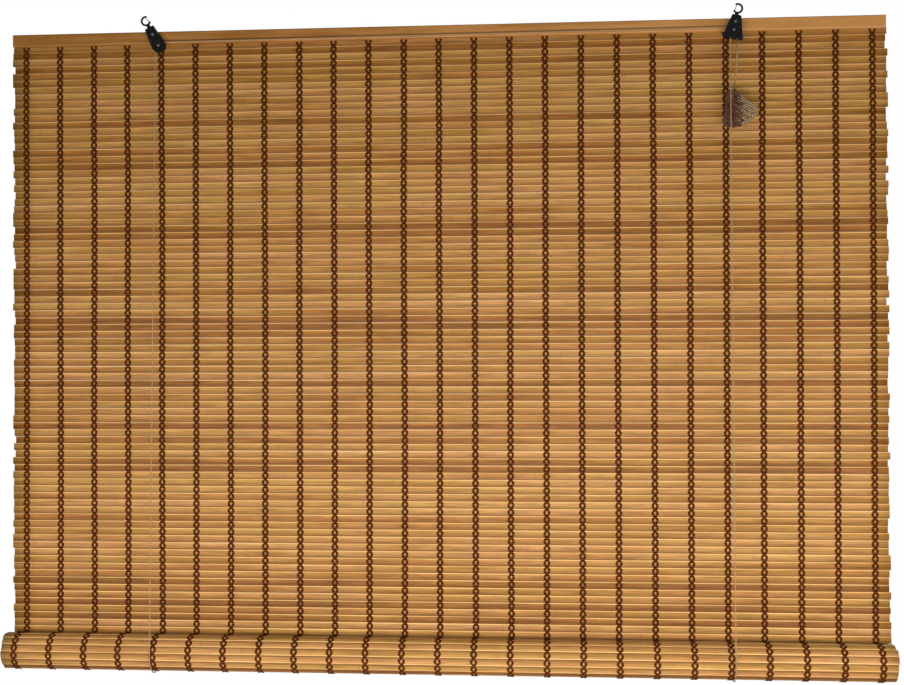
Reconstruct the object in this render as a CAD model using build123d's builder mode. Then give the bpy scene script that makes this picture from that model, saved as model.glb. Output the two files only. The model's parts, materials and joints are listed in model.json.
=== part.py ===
"""Bamboo roller blind, in millimetres.

A mat of thin bamboo slats, bound side by side with columns of cord, is stapled behind a wooden
head rail and hangs from it. Two cord slings pass under the rolled lower end of the mat. Each
sling is tied to an eye behind the rail, runs down behind the mat, under the roll and up its front
to a pulley on the rail, so pulling both cords rolls the mat up from below. The left cord crosses
along the rail to the right pulley, which holds two sheaves and a cam that locks the cords.

Frame: the origin is the middle of the rail's top edge at its back face. +X is right as seen from
the room, +Y points away from the room, +Z is up.
"""

import math
import os
from dataclasses import dataclass

from build123d import *

os.makedirs("parts", exist_ok=True)

# Slats of the mat
SLAT_LENGTH = 1202.0
SLAT_WIDTH = 9.0
SLAT_THICKNESS = 1.6
SLAT_GAP = 0.8
SLAT_CHAMFER = 0.45
SLAT_PITCH = SLAT_WIDTH + SLAT_GAP
HANGING_SLATS = 87
ROLLED_SLATS = 56
MAT_TOP = -4.0

# Head rail, a little shorter than the slats
RAIL_INSET = 3.0
RAIL_LENGTH = SLAT_LENGTH - 2 * RAIL_INSET
RAIL_DEPTH = 10.0
RAIL_HEIGHT = 17.0
RAIL_ROUND = 2.0

# Cord binding that holds the slats together
BINDING_COLUMNS = 25
BINDING_EDGE = 19.0
BINDING_SPACING = (SLAT_LENGTH - 2 * BINDING_EDGE) / (BINDING_COLUMNS - 1)
BINDING_WIDTH = 8.5
BINDING_THICKNESS = 0.5
CROSSING_THICKNESS = 0.6

# Running clearances
SOFT_CLEARANCE = 0.3
PIVOT_CLEARANCE = 0.05
SEAT_CLEARANCE = 0.02
CHEEK_CLEARANCE = 0.2
BAND_CLEARANCE = 0.15

# Roll of the mat's lower end
ROLL_RADIUS = 24.7
TURN_SPACING = 2.6
BATTEN_THICKNESS = 7.0
BATTEN_LENGTH = SLAT_LENGTH - 8.0

# Lift cords and slings
CORD_RADIUS = 0.7
SLING_X = {"left": -391.0, "right": 392.5}

# Screw eyes behind the rail and the knots above them
EYE_WIRE_RADIUS = 0.7
EYE_RING_RADIUS = 2.0
EYE_Z = -2.2
EYE_SHANK_DEPTH = 6.0
KNOT_RADIUS = 1.9

# Staples that hold the first slat
STAPLE_COUNT = 8
STAPLE_SPACING = 3 * BINDING_SPACING
STAPLE_WIRE = 0.6
STAPLE_WIDTH = 1.2
STAPLE_DEPTH = 5.0

# Pulley housings, folded from sheet
SHEET = 1.0
HOUSING_CORNERS = (3.0, 1.5, 1.5, 3.0)
RAIL_GAP = 0.6
SCREW_RADIUS = 1.6
SCREW_HEAD_RADIUS = 2.3
SCREW_HEAD_HEIGHT = 1.5
SCREW_BITE = 8.0
SPACER_RADIUS = 2.6
AXLE_RADIUS = 1.5
AXLE_HEAD_RADIUS = 2.0
AXLE_HEAD_HEIGHT = 1.1
AXLE_TAIL_RADIUS = 2.2
AXLE_TAIL_HEIGHT = 0.35

# Grooved sheaves
SHEAVE_THICKNESS = 4.0
SHEAVE_RADIUS = 6.3
CORD_TURN_RADIUS = 4.7
GROOVE_FLAT = 1.6
RIM_THICKNESS = 0.6
SHEAVE_APART = 0.4

# Snap hooks above the pulleys
HOOK_WIRE = 1.4
HOOK_RADIUS = 5.8
HOOK_START = -45.0
HOOK_SWEEP = 265.0
COLLAR_RADIUS = 3.0
HOOK_HEAD_RADIUS = 2.15
HOOK_HEAD_HEIGHT = 1.5
SHANK_CLEARANCE = 0.1
TONGUE_PIN_RADIUS = 0.5
TONGUE_WALL = 0.4
TONGUE_THICKNESS = 0.9
TONGUE_WIDTH = 2.0
TONGUE_EYE_RADIUS = 1.1

# Cord lock in the right housing
LOCK_PIN_RADIUS = 1.0
LOCK_POST_RADIUS = 1.3
LOCK_POST_Z = -25.5
CAM_PIN_Z = -24.5
CAM_REACH = 2.8
CAM_HUB_RADIUS = 2.2
CAM_NOSE_RADIUS = 1.2
CAM_TAIL_RADIUS = 1.3
CAM_TAIL = (2.6, -5.6)
LOCK_EXIT_Z = -30.0

# Hank of the two draw cords
HANK_APEX = (395.5, -99.0)
HANK_THICKNESS = 9.0

# Places that follow from the sizes
MAT_FRONT = BINDING_THICKNESS
MAT_MIDDLE = MAT_FRONT + SLAT_THICKNESS / 2
MAT_BACK = MAT_FRONT + SLAT_THICKNESS
ROLL_Y = MAT_MIDDLE - ROLL_RADIUS
ROLL_Z = MAT_TOP - HANGING_SLATS * SLAT_PITCH
BAND_CORNER = math.hypot(
    ROLL_RADIUS + SLAT_THICKNESS / 2 + BAND_CLEARANCE + BINDING_THICKNESS, SLAT_PITCH / 2
)
SLING_RADIUS = BAND_CORNER + SOFT_CLEARANCE + CORD_RADIUS
BACK_RUN_Y = ROLL_Y + SLING_RADIUS
BINDING_X = [(i - (BINDING_COLUMNS - 1) / 2) * BINDING_SPACING for i in range(BINDING_COLUMNS)]
STAPLE_X = [(i - (STAPLE_COUNT - 1) / 2) * STAPLE_SPACING for i in range(STAPLE_COUNT)]
HOUSING_BACK = -RAIL_DEPTH - RAIL_GAP
SHEAVE_OFFSET = SHEET + CHEEK_CLEARANCE + SHEAVE_THICKNESS / 2
KNOT_Z = EYE_Z + math.sqrt(
    (KNOT_RADIUS + EYE_WIRE_RADIUS + PIVOT_CLEARANCE) ** 2 - EYE_RING_RADIUS**2
)


@dataclass
class Pulley:
    """One pulley on the rail, placed by its axle and leaning in the plane of the rail's face."""

    name: str
    axle_x: float
    axle_z: float
    lean: float  # degrees, positive to the right
    sheaves: int
    screw_v: float  # distances above the axle along the leaning centre line
    bridge_v: float
    hook_v: float
    bottom_width: float
    top_width: float
    bottom_v: float
    hook_side: int  # -1 where the hook's wire is on the left and its tongue on the right

    @property
    def gap(self):
        """Clear width between the two cheeks."""
        apart = (self.sheaves - 1) * SHEAVE_APART
        return self.sheaves * SHEAVE_THICKNESS + apart + 2 * CHEEK_CLEARANCE

    @property
    def depth(self):
        """Outer width over both cheeks."""
        return self.gap + 2 * SHEET

    def plane(self, depth=0.0):
        """Plane on the axle, its x across and its y up the centre line, facing the room."""
        angle = math.radians(self.lean)
        return Plane(
            origin=(self.axle_x, HOUSING_BACK - depth, self.axle_z),
            x_dir=(math.cos(angle), 0, -math.sin(angle)),
            z_dir=(0, -1, 0),
        )

    def point(self, u, v, depth=0.0):
        """Row-frame point of a place across, up and out from the back cheek."""
        return self.plane(depth).from_local_coords(Vector(u, v, 0))

    def cord_y(self, sheave=0):
        """Middle plane of a sheave, counted from the rail."""
        return HOUSING_BACK - SHEAVE_OFFSET - sheave * (SHEAVE_THICKNESS + SHEAVE_APART)


LEFT = Pulley("left", -388.0, -20.5, -28.0, 1, 17.0, 28.0, 39.0, 19.0, 13.0, -9.5, -1)
RIGHT = Pulley("right", 397.5, -18.0, 11.0, 2, 10.7, 20.0, 29.7, 27.0, 12.0, -11.0, 1)
DRAW_X = RIGHT.axle_x + CORD_TURN_RADIUS
CAM_PIN_X = DRAW_X + CORD_RADIUS + SOFT_CLEARANCE + CAM_REACH
LOCK_POST_X = DRAW_X - CORD_RADIUS - SOFT_CLEARANCE - LOCK_POST_RADIUS


def rolled_place(length):
    """Angle and radius of the rolled mat's middle line at a length past the crease."""
    radius = math.sqrt(ROLL_RADIUS**2 - TURN_SPACING * length / math.pi)
    angle = -(ROLL_RADIUS - radius) * 2 * math.pi / TURN_SPACING
    return angle, radius


def on_roll(length, outward=0.0):
    """Location in the roll's YZ section, its x axis pointing outwards."""
    angle, radius = rolled_place(length)
    reach = radius + outward
    return Location(
        (ROLL_Y + reach * math.cos(angle), ROLL_Z + reach * math.sin(angle), 0),
        (0, 0, math.degrees(angle)),
    )


def loop_point(pulley, degrees, radius):
    """Place on a hook's loop across and up, at an angle that is mirrored with the hook."""
    angle = math.radians(degrees)
    across = -pulley.hook_side * radius * math.cos(angle)
    return across, pulley.hook_v + radius * math.sin(angle)


def front_plane(y, x=0.0, z=0.0):
    """Upright plane facing the room, its x to the right and its y up."""
    return Plane(origin=(x, y, z), x_dir=(1, 0, 0), z_dir=(0, -1, 0))


# Head rail with the holes of its screws, eyes and staples
with BuildPart() as head_rail:
    with BuildSketch(Plane.YZ):
        with Locations((-RAIL_DEPTH / 2, -RAIL_HEIGHT / 2)):
            RectangleRounded(RAIL_DEPTH, RAIL_HEIGHT, RAIL_ROUND)
    extrude(amount=RAIL_LENGTH / 2, both=True)
    for pulley in (LEFT, RIGHT):
        screw = pulley.point(0, pulley.screw_v)
        with Locations(front_plane(-RAIL_DEPTH, screw.X, screw.Z)):
            Hole(SCREW_RADIUS + SEAT_CLEARANCE, SCREW_BITE)
    for sling_x in SLING_X.values():
        with Locations(Plane(origin=(sling_x, 0, EYE_Z), z_dir=(0, 1, 0))):
            Hole(EYE_WIRE_RADIUS + SEAT_CLEARANCE, EYE_SHANK_DEPTH)
    leg_drop = SLAT_WIDTH + SLAT_GAP / 2
    for leg_z in (MAT_TOP + SLAT_GAP / 2, MAT_TOP - leg_drop):
        with Locations(*[(x, -STAPLE_DEPTH / 2, leg_z) for x in STAPLE_X]):
            slot = (STAPLE_WIDTH + 2 * SEAT_CLEARANCE, STAPLE_DEPTH, STAPLE_WIRE + 2 * SEAT_CLEARANCE)
            Box(*slot, mode=Mode.SUBTRACT)
head_rail.part.label = "head_rail"
export_step(head_rail.part, "parts/head_rail.step")

# Hanging mat: slats joined where the outermost binding columns cross their gaps
with BuildPart() as hanging_mat:
    with BuildSketch(Plane.YZ):
        front = MAT_FRONT
        back = MAT_BACK
        for slat in range(HANGING_SLATS):
            top = MAT_TOP - slat * SLAT_PITCH
            bottom = top - SLAT_WIDTH
            with BuildLine():
                Polyline(
                    (front, top - SLAT_CHAMFER),
                    (front + SLAT_CHAMFER, top),
                    (back, top),
                    (back, bottom),
                    (front + SLAT_CHAMFER, bottom),
                    (front, bottom + SLAT_CHAMFER),
                    close=True,
                )
            make_face()
    extrude(amount=SLAT_LENGTH / 2, both=True)
    strip_height = (HANGING_SLATS - 1) * SLAT_PITCH
    strip_z = MAT_TOP - SLAT_WIDTH / 2 - strip_height / 2
    with Locations((BINDING_X[0], MAT_MIDDLE, strip_z), (BINDING_X[-1], MAT_MIDDLE, strip_z)):
        Box(BINDING_WIDTH, CROSSING_THICKNESS, strip_height)
hanging_mat.part.label = "hanging_mat"
export_step(hanging_mat.part, "parts/hanging_mat.step")

# Columns of binding cord on the two faces of the hanging mat
tape_height = HANGING_SLATS * SLAT_PITCH - SLAT_GAP
for face, tape_y in (("front", BINDING_THICKNESS / 2), ("back", MAT_BACK + BINDING_THICKNESS / 2)):
    with BuildPart() as binding_cords:
        with Locations(*[(x, tape_y, MAT_TOP - tape_height / 2) for x in BINDING_X]):
            Box(BINDING_WIDTH, BINDING_THICKNESS, tape_height)
    binding_cords.part.label = f"binding_cords_{face}"
    export_step(binding_cords.part, f"parts/binding_cords_{face}.step")

# Staples around the first slat
with BuildPart() as mat_staples:
    crown_y = MAT_BACK + PIVOT_CLEARANCE + STAPLE_WIRE / 2
    leg_top = MAT_TOP + SLAT_GAP / 2
    leg_bottom = MAT_TOP - leg_drop
    leg_length = crown_y + STAPLE_WIRE / 2 + STAPLE_DEPTH
    leg_y = crown_y + STAPLE_WIRE / 2 - leg_length / 2
    with Locations(*[(x, crown_y, (leg_top + leg_bottom) / 2) for x in STAPLE_X]):
        Box(STAPLE_WIDTH, STAPLE_WIRE, leg_top - leg_bottom + STAPLE_WIRE)
    for leg_z in (leg_top, leg_bottom):
        with Locations(*[(x, leg_y, leg_z) for x in STAPLE_X]):
            Box(STAPLE_WIDTH, leg_length, STAPLE_WIRE)
mat_staples.part.label = "mat_staples"
export_step(mat_staples.part, "parts/mat_staples.step")

# Rolled mat: every turn in one solid, slat after slat along the spiral
with BuildPart() as rolled_mat:
    with BuildSketch(Plane.YZ):
        with Locations(*[on_roll((slat + 0.5) * SLAT_PITCH) for slat in range(ROLLED_SLATS)]):
            Rectangle(SLAT_THICKNESS, SLAT_WIDTH)
        with Locations(*[on_roll(slat * SLAT_PITCH) for slat in range(1, ROLLED_SLATS)]):
            Rectangle(CROSSING_THICKNESS, 3 * SLAT_GAP)
    extrude(amount=SLAT_LENGTH / 2, both=True)
rolled_mat.part.label = "rolled_mat"
export_step(rolled_mat.part, "parts/rolled_mat.step")

# Bottom batten in the core of the roll, edge on to the innermost slat
with BuildPart() as bottom_batten:
    last_angle, last_radius = rolled_place((ROLLED_SLATS - 0.5) * SLAT_PITCH)
    batten_width = 2 * (last_radius - SLAT_THICKNESS / 2 - SOFT_CLEARANCE)
    with BuildSketch(Plane.YZ):
        with Locations(Location((ROLL_Y, ROLL_Z, 0), (0, 0, math.degrees(last_angle)))):
            SlotOverall(batten_width, BATTEN_THICKNESS)
    extrude(amount=BATTEN_LENGTH / 2, both=True)
bottom_batten.part.label = "bottom_batten"
export_step(bottom_batten.part, "parts/bottom_batten.step")

# Binding cords round the outer turn of the roll, flat on each slat
with BuildPart() as roll_binding_cords:
    inner_offset = SLAT_THICKNESS / 2 + BAND_CLEARANCE
    outer_turn = int(2 * math.pi * ROLL_RADIUS / SLAT_PITCH) - 1
    outline = []
    for lift, order in ((inner_offset, 1), (inner_offset + BINDING_THICKNESS, -1)):
        ring = []
        for joint in range(outer_turn + 1):
            angle, radius = rolled_place(joint * SLAT_PITCH)
            reach = (radius + lift) / math.cos(SLAT_PITCH / 2 / radius)
            ring.append((ROLL_Y + reach * math.cos(angle), ROLL_Z + reach * math.sin(angle)))
        outline += ring[::order]
    with BuildSketch(*[Plane.YZ.offset(x - BINDING_WIDTH / 2) for x in BINDING_X]):
        with BuildLine(Plane.XY):
            Polyline(*outline, close=True)
        make_face()
    extrude(amount=BINDING_WIDTH)
roll_binding_cords.part.label = "roll_binding_cords"
export_step(roll_binding_cords.part, "parts/roll_binding_cords.step")

# Screw eyes in the rail's back, and the knots that the lift cords end in
with BuildPart() as anchor_eyes:
    for sling_x in SLING_X.values():
        with Locations((sling_x, BACK_RUN_Y, EYE_Z)):
            Torus(EYE_RING_RADIUS, EYE_WIRE_RADIUS)
        shank = BACK_RUN_Y - EYE_RING_RADIUS + EYE_SHANK_DEPTH
        with BuildSketch(Plane(origin=(sling_x, -EYE_SHANK_DEPTH, EYE_Z), z_dir=(0, 1, 0))):
            Circle(EYE_WIRE_RADIUS)
        extrude(amount=shank)
anchor_eyes.part.label = "anchor_eyes"
export_step(anchor_eyes.part, "parts/anchor_eyes.step")

with BuildPart() as anchor_knots:
    with Locations(*[(x, BACK_RUN_Y, KNOT_Z) for x in SLING_X.values()]):
        Sphere(KNOT_RADIUS)
anchor_knots.part.label = "anchor_knots"
export_step(anchor_knots.part, "parts/anchor_knots.step")

# Slings under the roll, and the cord runs in front of the mat and behind it
for pulley in (LEFT, RIGHT):
    sling_x = SLING_X[pulley.name]
    top_y = pulley.cord_y(pulley.sheaves - 1)
    top_x = pulley.axle_x - CORD_TURN_RADIUS
    reach_y = top_y - ROLL_Y
    reach_z = pulley.axle_z - ROLL_Z
    reach = math.hypot(reach_y, reach_z)
    front_angle = math.atan2(reach_z, reach_y) + math.acos(SLING_RADIUS / reach)
    sling_end = Vector(
        sling_x,
        ROLL_Y + SLING_RADIUS * math.cos(front_angle),
        ROLL_Z + SLING_RADIUS * math.sin(front_angle),
    )
    with BuildPart() as sling:
        with BuildSketch(Plane.XY.offset(ROLL_Z)):
            with Locations((sling_x, BACK_RUN_Y)):
                Circle(CORD_RADIUS)
        revolve(
            axis=Axis((0, ROLL_Y, ROLL_Z), (-1, 0, 0)),
            revolution_arc=360 - math.degrees(front_angle),
        )
    sling.part.label = f"{pulley.name}_sling"
    export_step(sling.part, f"parts/{pulley.name}_sling.step")

    with BuildPart() as back_run:
        run_top = KNOT_Z - KNOT_RADIUS
        with BuildSketch(Plane.XY.offset(ROLL_Z)):
            with Locations((sling_x, BACK_RUN_Y)):
                Circle(CORD_RADIUS)
        extrude(amount=run_top - ROLL_Z)
    back_run.part.label = f"{pulley.name}_back_run"
    export_step(back_run.part, f"parts/{pulley.name}_back_run.step")

    with BuildPart() as front_run:
        run = Vector(top_x, top_y, pulley.axle_z) - sling_end
        with BuildSketch(Plane(origin=sling_end, z_dir=run)):
            Circle(CORD_RADIUS)
        extrude(amount=run.length - CORD_RADIUS / 10)
    front_run.part.label = f"{pulley.name}_front_run"
    export_step(front_run.part, f"parts/{pulley.name}_front_run.step")

# Pulley housings, sleeves, screws, axles and sheaves
for pulley in (LEFT, RIGHT):
    with BuildPart() as housing:
        with BuildSketch(pulley.plane()):
            with BuildLine():
                corner = pulley.bottom_width / 2
                if pulley.sheaves == 1:
                    Polyline((corner, 0), (pulley.top_width / 2, pulley.bridge_v))
                    Line((pulley.top_width / 2, pulley.bridge_v), (-pulley.top_width / 2, pulley.bridge_v))
                    Line((-pulley.top_width / 2, pulley.bridge_v), (-corner, 0))
                    ThreePointArc((-corner, 0), (0, pulley.bottom_v), (corner, 0))
                else:
                    FilletPolyline(
                        (corner, pulley.bottom_v),
                        (pulley.top_width / 2, pulley.bridge_v),
                        (-pulley.top_width / 2, pulley.bridge_v),
                        (-corner, pulley.bottom_v),
                        radius=HOUSING_CORNERS,
                        close=True,
                    )
            make_face()
        extrude(amount=pulley.depth)
        with BuildSketch(pulley.plane(SHEET)):
            inner_top = pulley.bridge_v - SHEET
            inner_bottom = pulley.bottom_v - SHEET
            with Locations((0, (inner_top + inner_bottom) / 2)):
                Rectangle(2 * pulley.bottom_width, inner_top - inner_bottom)
        extrude(amount=pulley.gap, mode=Mode.SUBTRACT)
        with BuildSketch(pulley.plane()):
            Circle(AXLE_RADIUS + SEAT_CLEARANCE)
            with Locations((0, pulley.screw_v)):
                Circle(SCREW_RADIUS + PIVOT_CLEARANCE)
        extrude(amount=pulley.depth, mode=Mode.SUBTRACT)
        shank_top = pulley.point(0, pulley.bridge_v, pulley.depth / 2)
        shank_way = pulley.point(0, pulley.bridge_v + 1, pulley.depth / 2) - shank_top
        with BuildSketch(Plane(origin=shank_top, z_dir=shank_way)):
            Circle(HOOK_WIRE + SHANK_CLEARANCE)
        extrude(amount=-SHEET, mode=Mode.SUBTRACT)
        if pulley is RIGHT:
            with BuildSketch(front_plane(HOUSING_BACK)):
                with Locations((CAM_PIN_X, CAM_PIN_Z)):
                    Circle(LOCK_PIN_RADIUS + SEAT_CLEARANCE)
                with Locations((LOCK_POST_X, LOCK_POST_Z)):
                    Circle(LOCK_PIN_RADIUS + SEAT_CLEARANCE)
            extrude(amount=pulley.depth, mode=Mode.SUBTRACT)
    housing.part.label = f"{pulley.name}_housing"
    export_step(housing.part, f"parts/{pulley.name}_housing.step")

    with BuildPart() as spacer:
        with BuildSketch(pulley.plane(SHEET + PIVOT_CLEARANCE)):
            with Locations((0, pulley.screw_v)):
                Circle(SPACER_RADIUS)
                Circle(SCREW_RADIUS + PIVOT_CLEARANCE, mode=Mode.SUBTRACT)
        extrude(amount=pulley.gap - 2 * PIVOT_CLEARANCE)
    spacer.part.label = f"{pulley.name}_spacer"
    export_step(spacer.part, f"parts/{pulley.name}_spacer.step")

    with BuildPart() as fixing_screw:
        head_y = pulley.depth + CHEEK_CLEARANCE
        screw = pulley.point(0, pulley.screw_v, head_y)
        with BuildSketch(front_plane(screw.Y, screw.X, screw.Z)):
            Circle(SCREW_HEAD_RADIUS)
        extrude(amount=SCREW_HEAD_HEIGHT, taper=25)
        with BuildSketch(front_plane(screw.Y, screw.X, screw.Z)):
            Circle(SCREW_RADIUS)
        extrude(amount=-(head_y + RAIL_GAP + SCREW_BITE - SOFT_CLEARANCE))
    fixing_screw.part.label = f"{pulley.name}_fixing_screw"
    export_step(fixing_screw.part, f"parts/{pulley.name}_fixing_screw.step")

    with BuildPart() as axle:
        with BuildSketch(pulley.plane(-AXLE_TAIL_HEIGHT)):
            Circle(AXLE_TAIL_RADIUS)
        extrude(amount=AXLE_TAIL_HEIGHT)
        with BuildSketch(pulley.plane()):
            Circle(AXLE_RADIUS)
        extrude(amount=pulley.depth)
        with BuildSketch(pulley.plane(pulley.depth)):
            Circle(AXLE_HEAD_RADIUS)
        extrude(amount=AXLE_HEAD_HEIGHT, taper=35)
    axle.part.label = f"{pulley.name}_axle"
    export_step(axle.part, f"parts/{pulley.name}_axle.step")

    for row in range(pulley.sheaves):
        where = {(1, 0): "left_sheave", (2, 0): "right_back_sheave", (2, 1): "right_front_sheave"}
        sheave_name = where[pulley.sheaves, row]
        half = SHEAVE_THICKNESS / 2
        groove = CORD_TURN_RADIUS - CORD_RADIUS - SOFT_CLEARANCE
        with BuildPart() as sheave:
            section = Plane(
                origin=(pulley.axle_x, pulley.cord_y(row), pulley.axle_z),
                x_dir=(1, 0, 0),
                z_dir=(0, 0, 1),
            )
            with BuildSketch(section):
                with BuildLine():
                    Polyline(
                        (AXLE_RADIUS + PIVOT_CLEARANCE, -half),
                        (SHEAVE_RADIUS, -half),
                        (SHEAVE_RADIUS, -half + RIM_THICKNESS),
                        (groove, -GROOVE_FLAT / 2),
                        (groove, GROOVE_FLAT / 2),
                        (SHEAVE_RADIUS, half - RIM_THICKNESS),
                        (SHEAVE_RADIUS, half),
                        (AXLE_RADIUS + PIVOT_CLEARANCE, half),
                        close=True,
                    )
                make_face()
            revolve(axis=Axis(section.origin, (0, 1, 0)))
        sheave.part.label = sheave_name
        export_step(sheave.part, f"parts/{sheave_name}.step")

# Snap hooks that swivel in the housings' bridges, and their sprung tongues
for pulley in (LEFT, RIGHT):
    middle = pulley.depth / 2
    wire_ends = (HOOK_START, HOOK_START - HOOK_SWEEP / 2, HOOK_START - HOOK_SWEEP)
    eye = Vector(*loop_point(pulley, HOOK_START, HOOK_RADIUS))
    with BuildPart() as hook:
        with BuildLine(pulley.plane(middle)) as wire:
            ThreePointArc(*[loop_point(pulley, degrees, HOOK_RADIUS) for degrees in wire_ends])
        with BuildSketch(Plane(origin=wire.line @ 0, z_dir=wire.line % 0)):
            Circle(HOOK_WIRE)
        sweep()
        neck = pulley.plane(middle)
        collar_bottom = pulley.bridge_v + SOFT_CLEARANCE
        collar_height = pulley.hook_v - HOOK_RADIUS - collar_bottom
        upward = neck.y_dir
        with BuildSketch(Plane(origin=neck.from_local_coords(Vector(0, collar_bottom, 0)), z_dir=upward)):
            Circle(COLLAR_RADIUS)
        extrude(amount=collar_height, taper=10)
        head_top = pulley.bridge_v - SHEET - SOFT_CLEARANCE
        with BuildSketch(Plane(origin=neck.from_local_coords(Vector(0, head_top, 0)), z_dir=upward)):
            Circle(HOOK_WIRE)
        extrude(amount=collar_bottom - head_top)
        with BuildSketch(Plane(origin=neck.from_local_coords(Vector(0, head_top, 0)), z_dir=upward)):
            Circle(HOOK_HEAD_RADIUS)
        extrude(amount=-HOOK_HEAD_HEIGHT)
        with BuildSketch(pulley.plane(middle - 2 * HOOK_WIRE)):
            with Locations((eye.X, eye.Y)):
                Circle(TONGUE_PIN_RADIUS + PIVOT_CLEARANCE)
        extrude(amount=4 * HOOK_WIRE, mode=Mode.SUBTRACT)
    hook.part.label = f"{pulley.name}_hook"
    export_step(hook.part, f"parts/{pulley.name}_hook.step")

    cheek = HOOK_WIRE + TONGUE_WALL / 2 + SHANK_CLEARANCE
    inner_reach = HOOK_RADIUS - HOOK_WIRE - SOFT_CLEARANCE - TONGUE_THICKNESS / 2
    tip = Vector(*loop_point(pulley, HOOK_START - HOOK_SWEEP, inner_reach))
    along = (tip - eye).normalized()
    bend = eye + along * (HOOK_WIRE + TONGUE_EYE_RADIUS + SOFT_CLEARANCE)
    with BuildPart() as tongue:
        with BuildSketch(pulley.plane(middle - TONGUE_WIDTH / 2)):
            with BuildLine():
                Line((bend.X, bend.Y), (tip.X, tip.Y))
                offset(amount=TONGUE_THICKNESS / 2, side=Side.BOTH)
            make_face()
        extrude(amount=TONGUE_WIDTH)
        for way in (-1, 1):
            with BuildSketch(pulley.plane(middle + way * cheek - TONGUE_WALL / 2)):
                with Locations((eye.X, eye.Y)):
                    Circle(TONGUE_EYE_RADIUS)
                with BuildLine():
                    Line((eye.X, eye.Y), (bend.X, bend.Y))
                    offset(amount=TONGUE_THICKNESS / 2, side=Side.BOTH)
                make_face()
            extrude(amount=TONGUE_WALL)
        with BuildSketch(pulley.plane(middle - cheek - TONGUE_WALL / 2)):
            with Locations((eye.X, eye.Y)):
                Circle(TONGUE_PIN_RADIUS)
            with Locations((bend.X, bend.Y)):
                Circle(TONGUE_THICKNESS / 2)
        extrude(amount=2 * cheek + TONGUE_WALL)
    tongue.part.label = f"{pulley.name}_tongue"
    export_step(tongue.part, f"parts/{pulley.name}_tongue.step")

# Cords over the sheaves
with BuildPart() as left_over_cord:
    with BuildSketch(Plane.XY.offset(LEFT.axle_z)):
        with Locations((LEFT.axle_x - CORD_TURN_RADIUS, LEFT.cord_y())):
            Circle(CORD_RADIUS)
    revolve(axis=Axis((LEFT.axle_x, LEFT.cord_y(), LEFT.axle_z), (0, 1, 0)), revolution_arc=90)
left_over_cord.part.label = "left_over_cord"
export_step(left_over_cord.part, "parts/left_over_cord.step")

with BuildPart() as cross_cord:
    left_end = Vector(LEFT.axle_x + SOFT_CLEARANCE, LEFT.cord_y(), LEFT.axle_z + CORD_TURN_RADIUS)
    right_end = Vector(RIGHT.axle_x - SOFT_CLEARANCE, RIGHT.cord_y(), RIGHT.axle_z + CORD_TURN_RADIUS)
    across = right_end - left_end
    with BuildSketch(Plane(origin=left_end, z_dir=across)):
        Circle(CORD_RADIUS)
    extrude(amount=across.length)
cross_cord.part.label = "cross_cord"
export_step(cross_cord.part, "parts/cross_cord.step")

for row, name, turn in ((0, "right_back_over_cord", 90), (1, "right_front_over_cord", 180)):
    with BuildPart() as over_cord:
        with BuildSketch(Plane.XY.offset(RIGHT.axle_z)):
            with Locations((DRAW_X, RIGHT.cord_y(row))):
                Circle(CORD_RADIUS)
        revolve(
            axis=Axis((RIGHT.axle_x, RIGHT.cord_y(row), RIGHT.axle_z), (0, -1, 0)),
            revolution_arc=turn,
        )
        with BuildSketch(Plane.XY.offset(RIGHT.axle_z)):
            with Locations((DRAW_X, RIGHT.cord_y(row))):
                Circle(CORD_RADIUS)
        extrude(amount=LOCK_EXIT_Z - RIGHT.axle_z)
    over_cord.part.label = name
    export_step(over_cord.part, f"parts/{name}.step")

# Cord lock: a fixed post and a cam on its pin, either side of the two draw cords
with BuildPart() as lock_post:
    with BuildSketch(front_plane(HOUSING_BACK - SHEET - PIVOT_CLEARANCE, LOCK_POST_X, LOCK_POST_Z)):
        Circle(LOCK_POST_RADIUS)
    extrude(amount=RIGHT.gap - 2 * PIVOT_CLEARANCE)
    with BuildSketch(front_plane(HOUSING_BACK, LOCK_POST_X, LOCK_POST_Z)):
        Circle(LOCK_PIN_RADIUS)
    extrude(amount=RIGHT.depth)
lock_post.part.label = "lock_post"
export_step(lock_post.part, "parts/lock_post.step")

with BuildPart() as lock_pin:
    with BuildSketch(front_plane(HOUSING_BACK, CAM_PIN_X, CAM_PIN_Z)):
        Circle(LOCK_PIN_RADIUS)
    extrude(amount=RIGHT.depth)
lock_pin.part.label = "lock_pin"
export_step(lock_pin.part, "parts/lock_pin.step")

with BuildPart() as lock_cam:
    with BuildSketch(front_plane(HOUSING_BACK - SHEET - CHEEK_CLEARANCE, CAM_PIN_X, CAM_PIN_Z)):
        Circle(CAM_HUB_RADIUS)
        with Locations((-CAM_REACH + CAM_NOSE_RADIUS, 0)):
            Circle(CAM_NOSE_RADIUS)
        with Locations(CAM_TAIL):
            Circle(CAM_TAIL_RADIUS)
        make_hull()
        Circle(LOCK_PIN_RADIUS + PIVOT_CLEARANCE, mode=Mode.SUBTRACT)
    extrude(amount=RIGHT.gap - 2 * CHEEK_CLEARANCE)
lock_cam.part.label = "lock_cam"
export_step(lock_cam.part, "parts/lock_cam.step")

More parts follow.
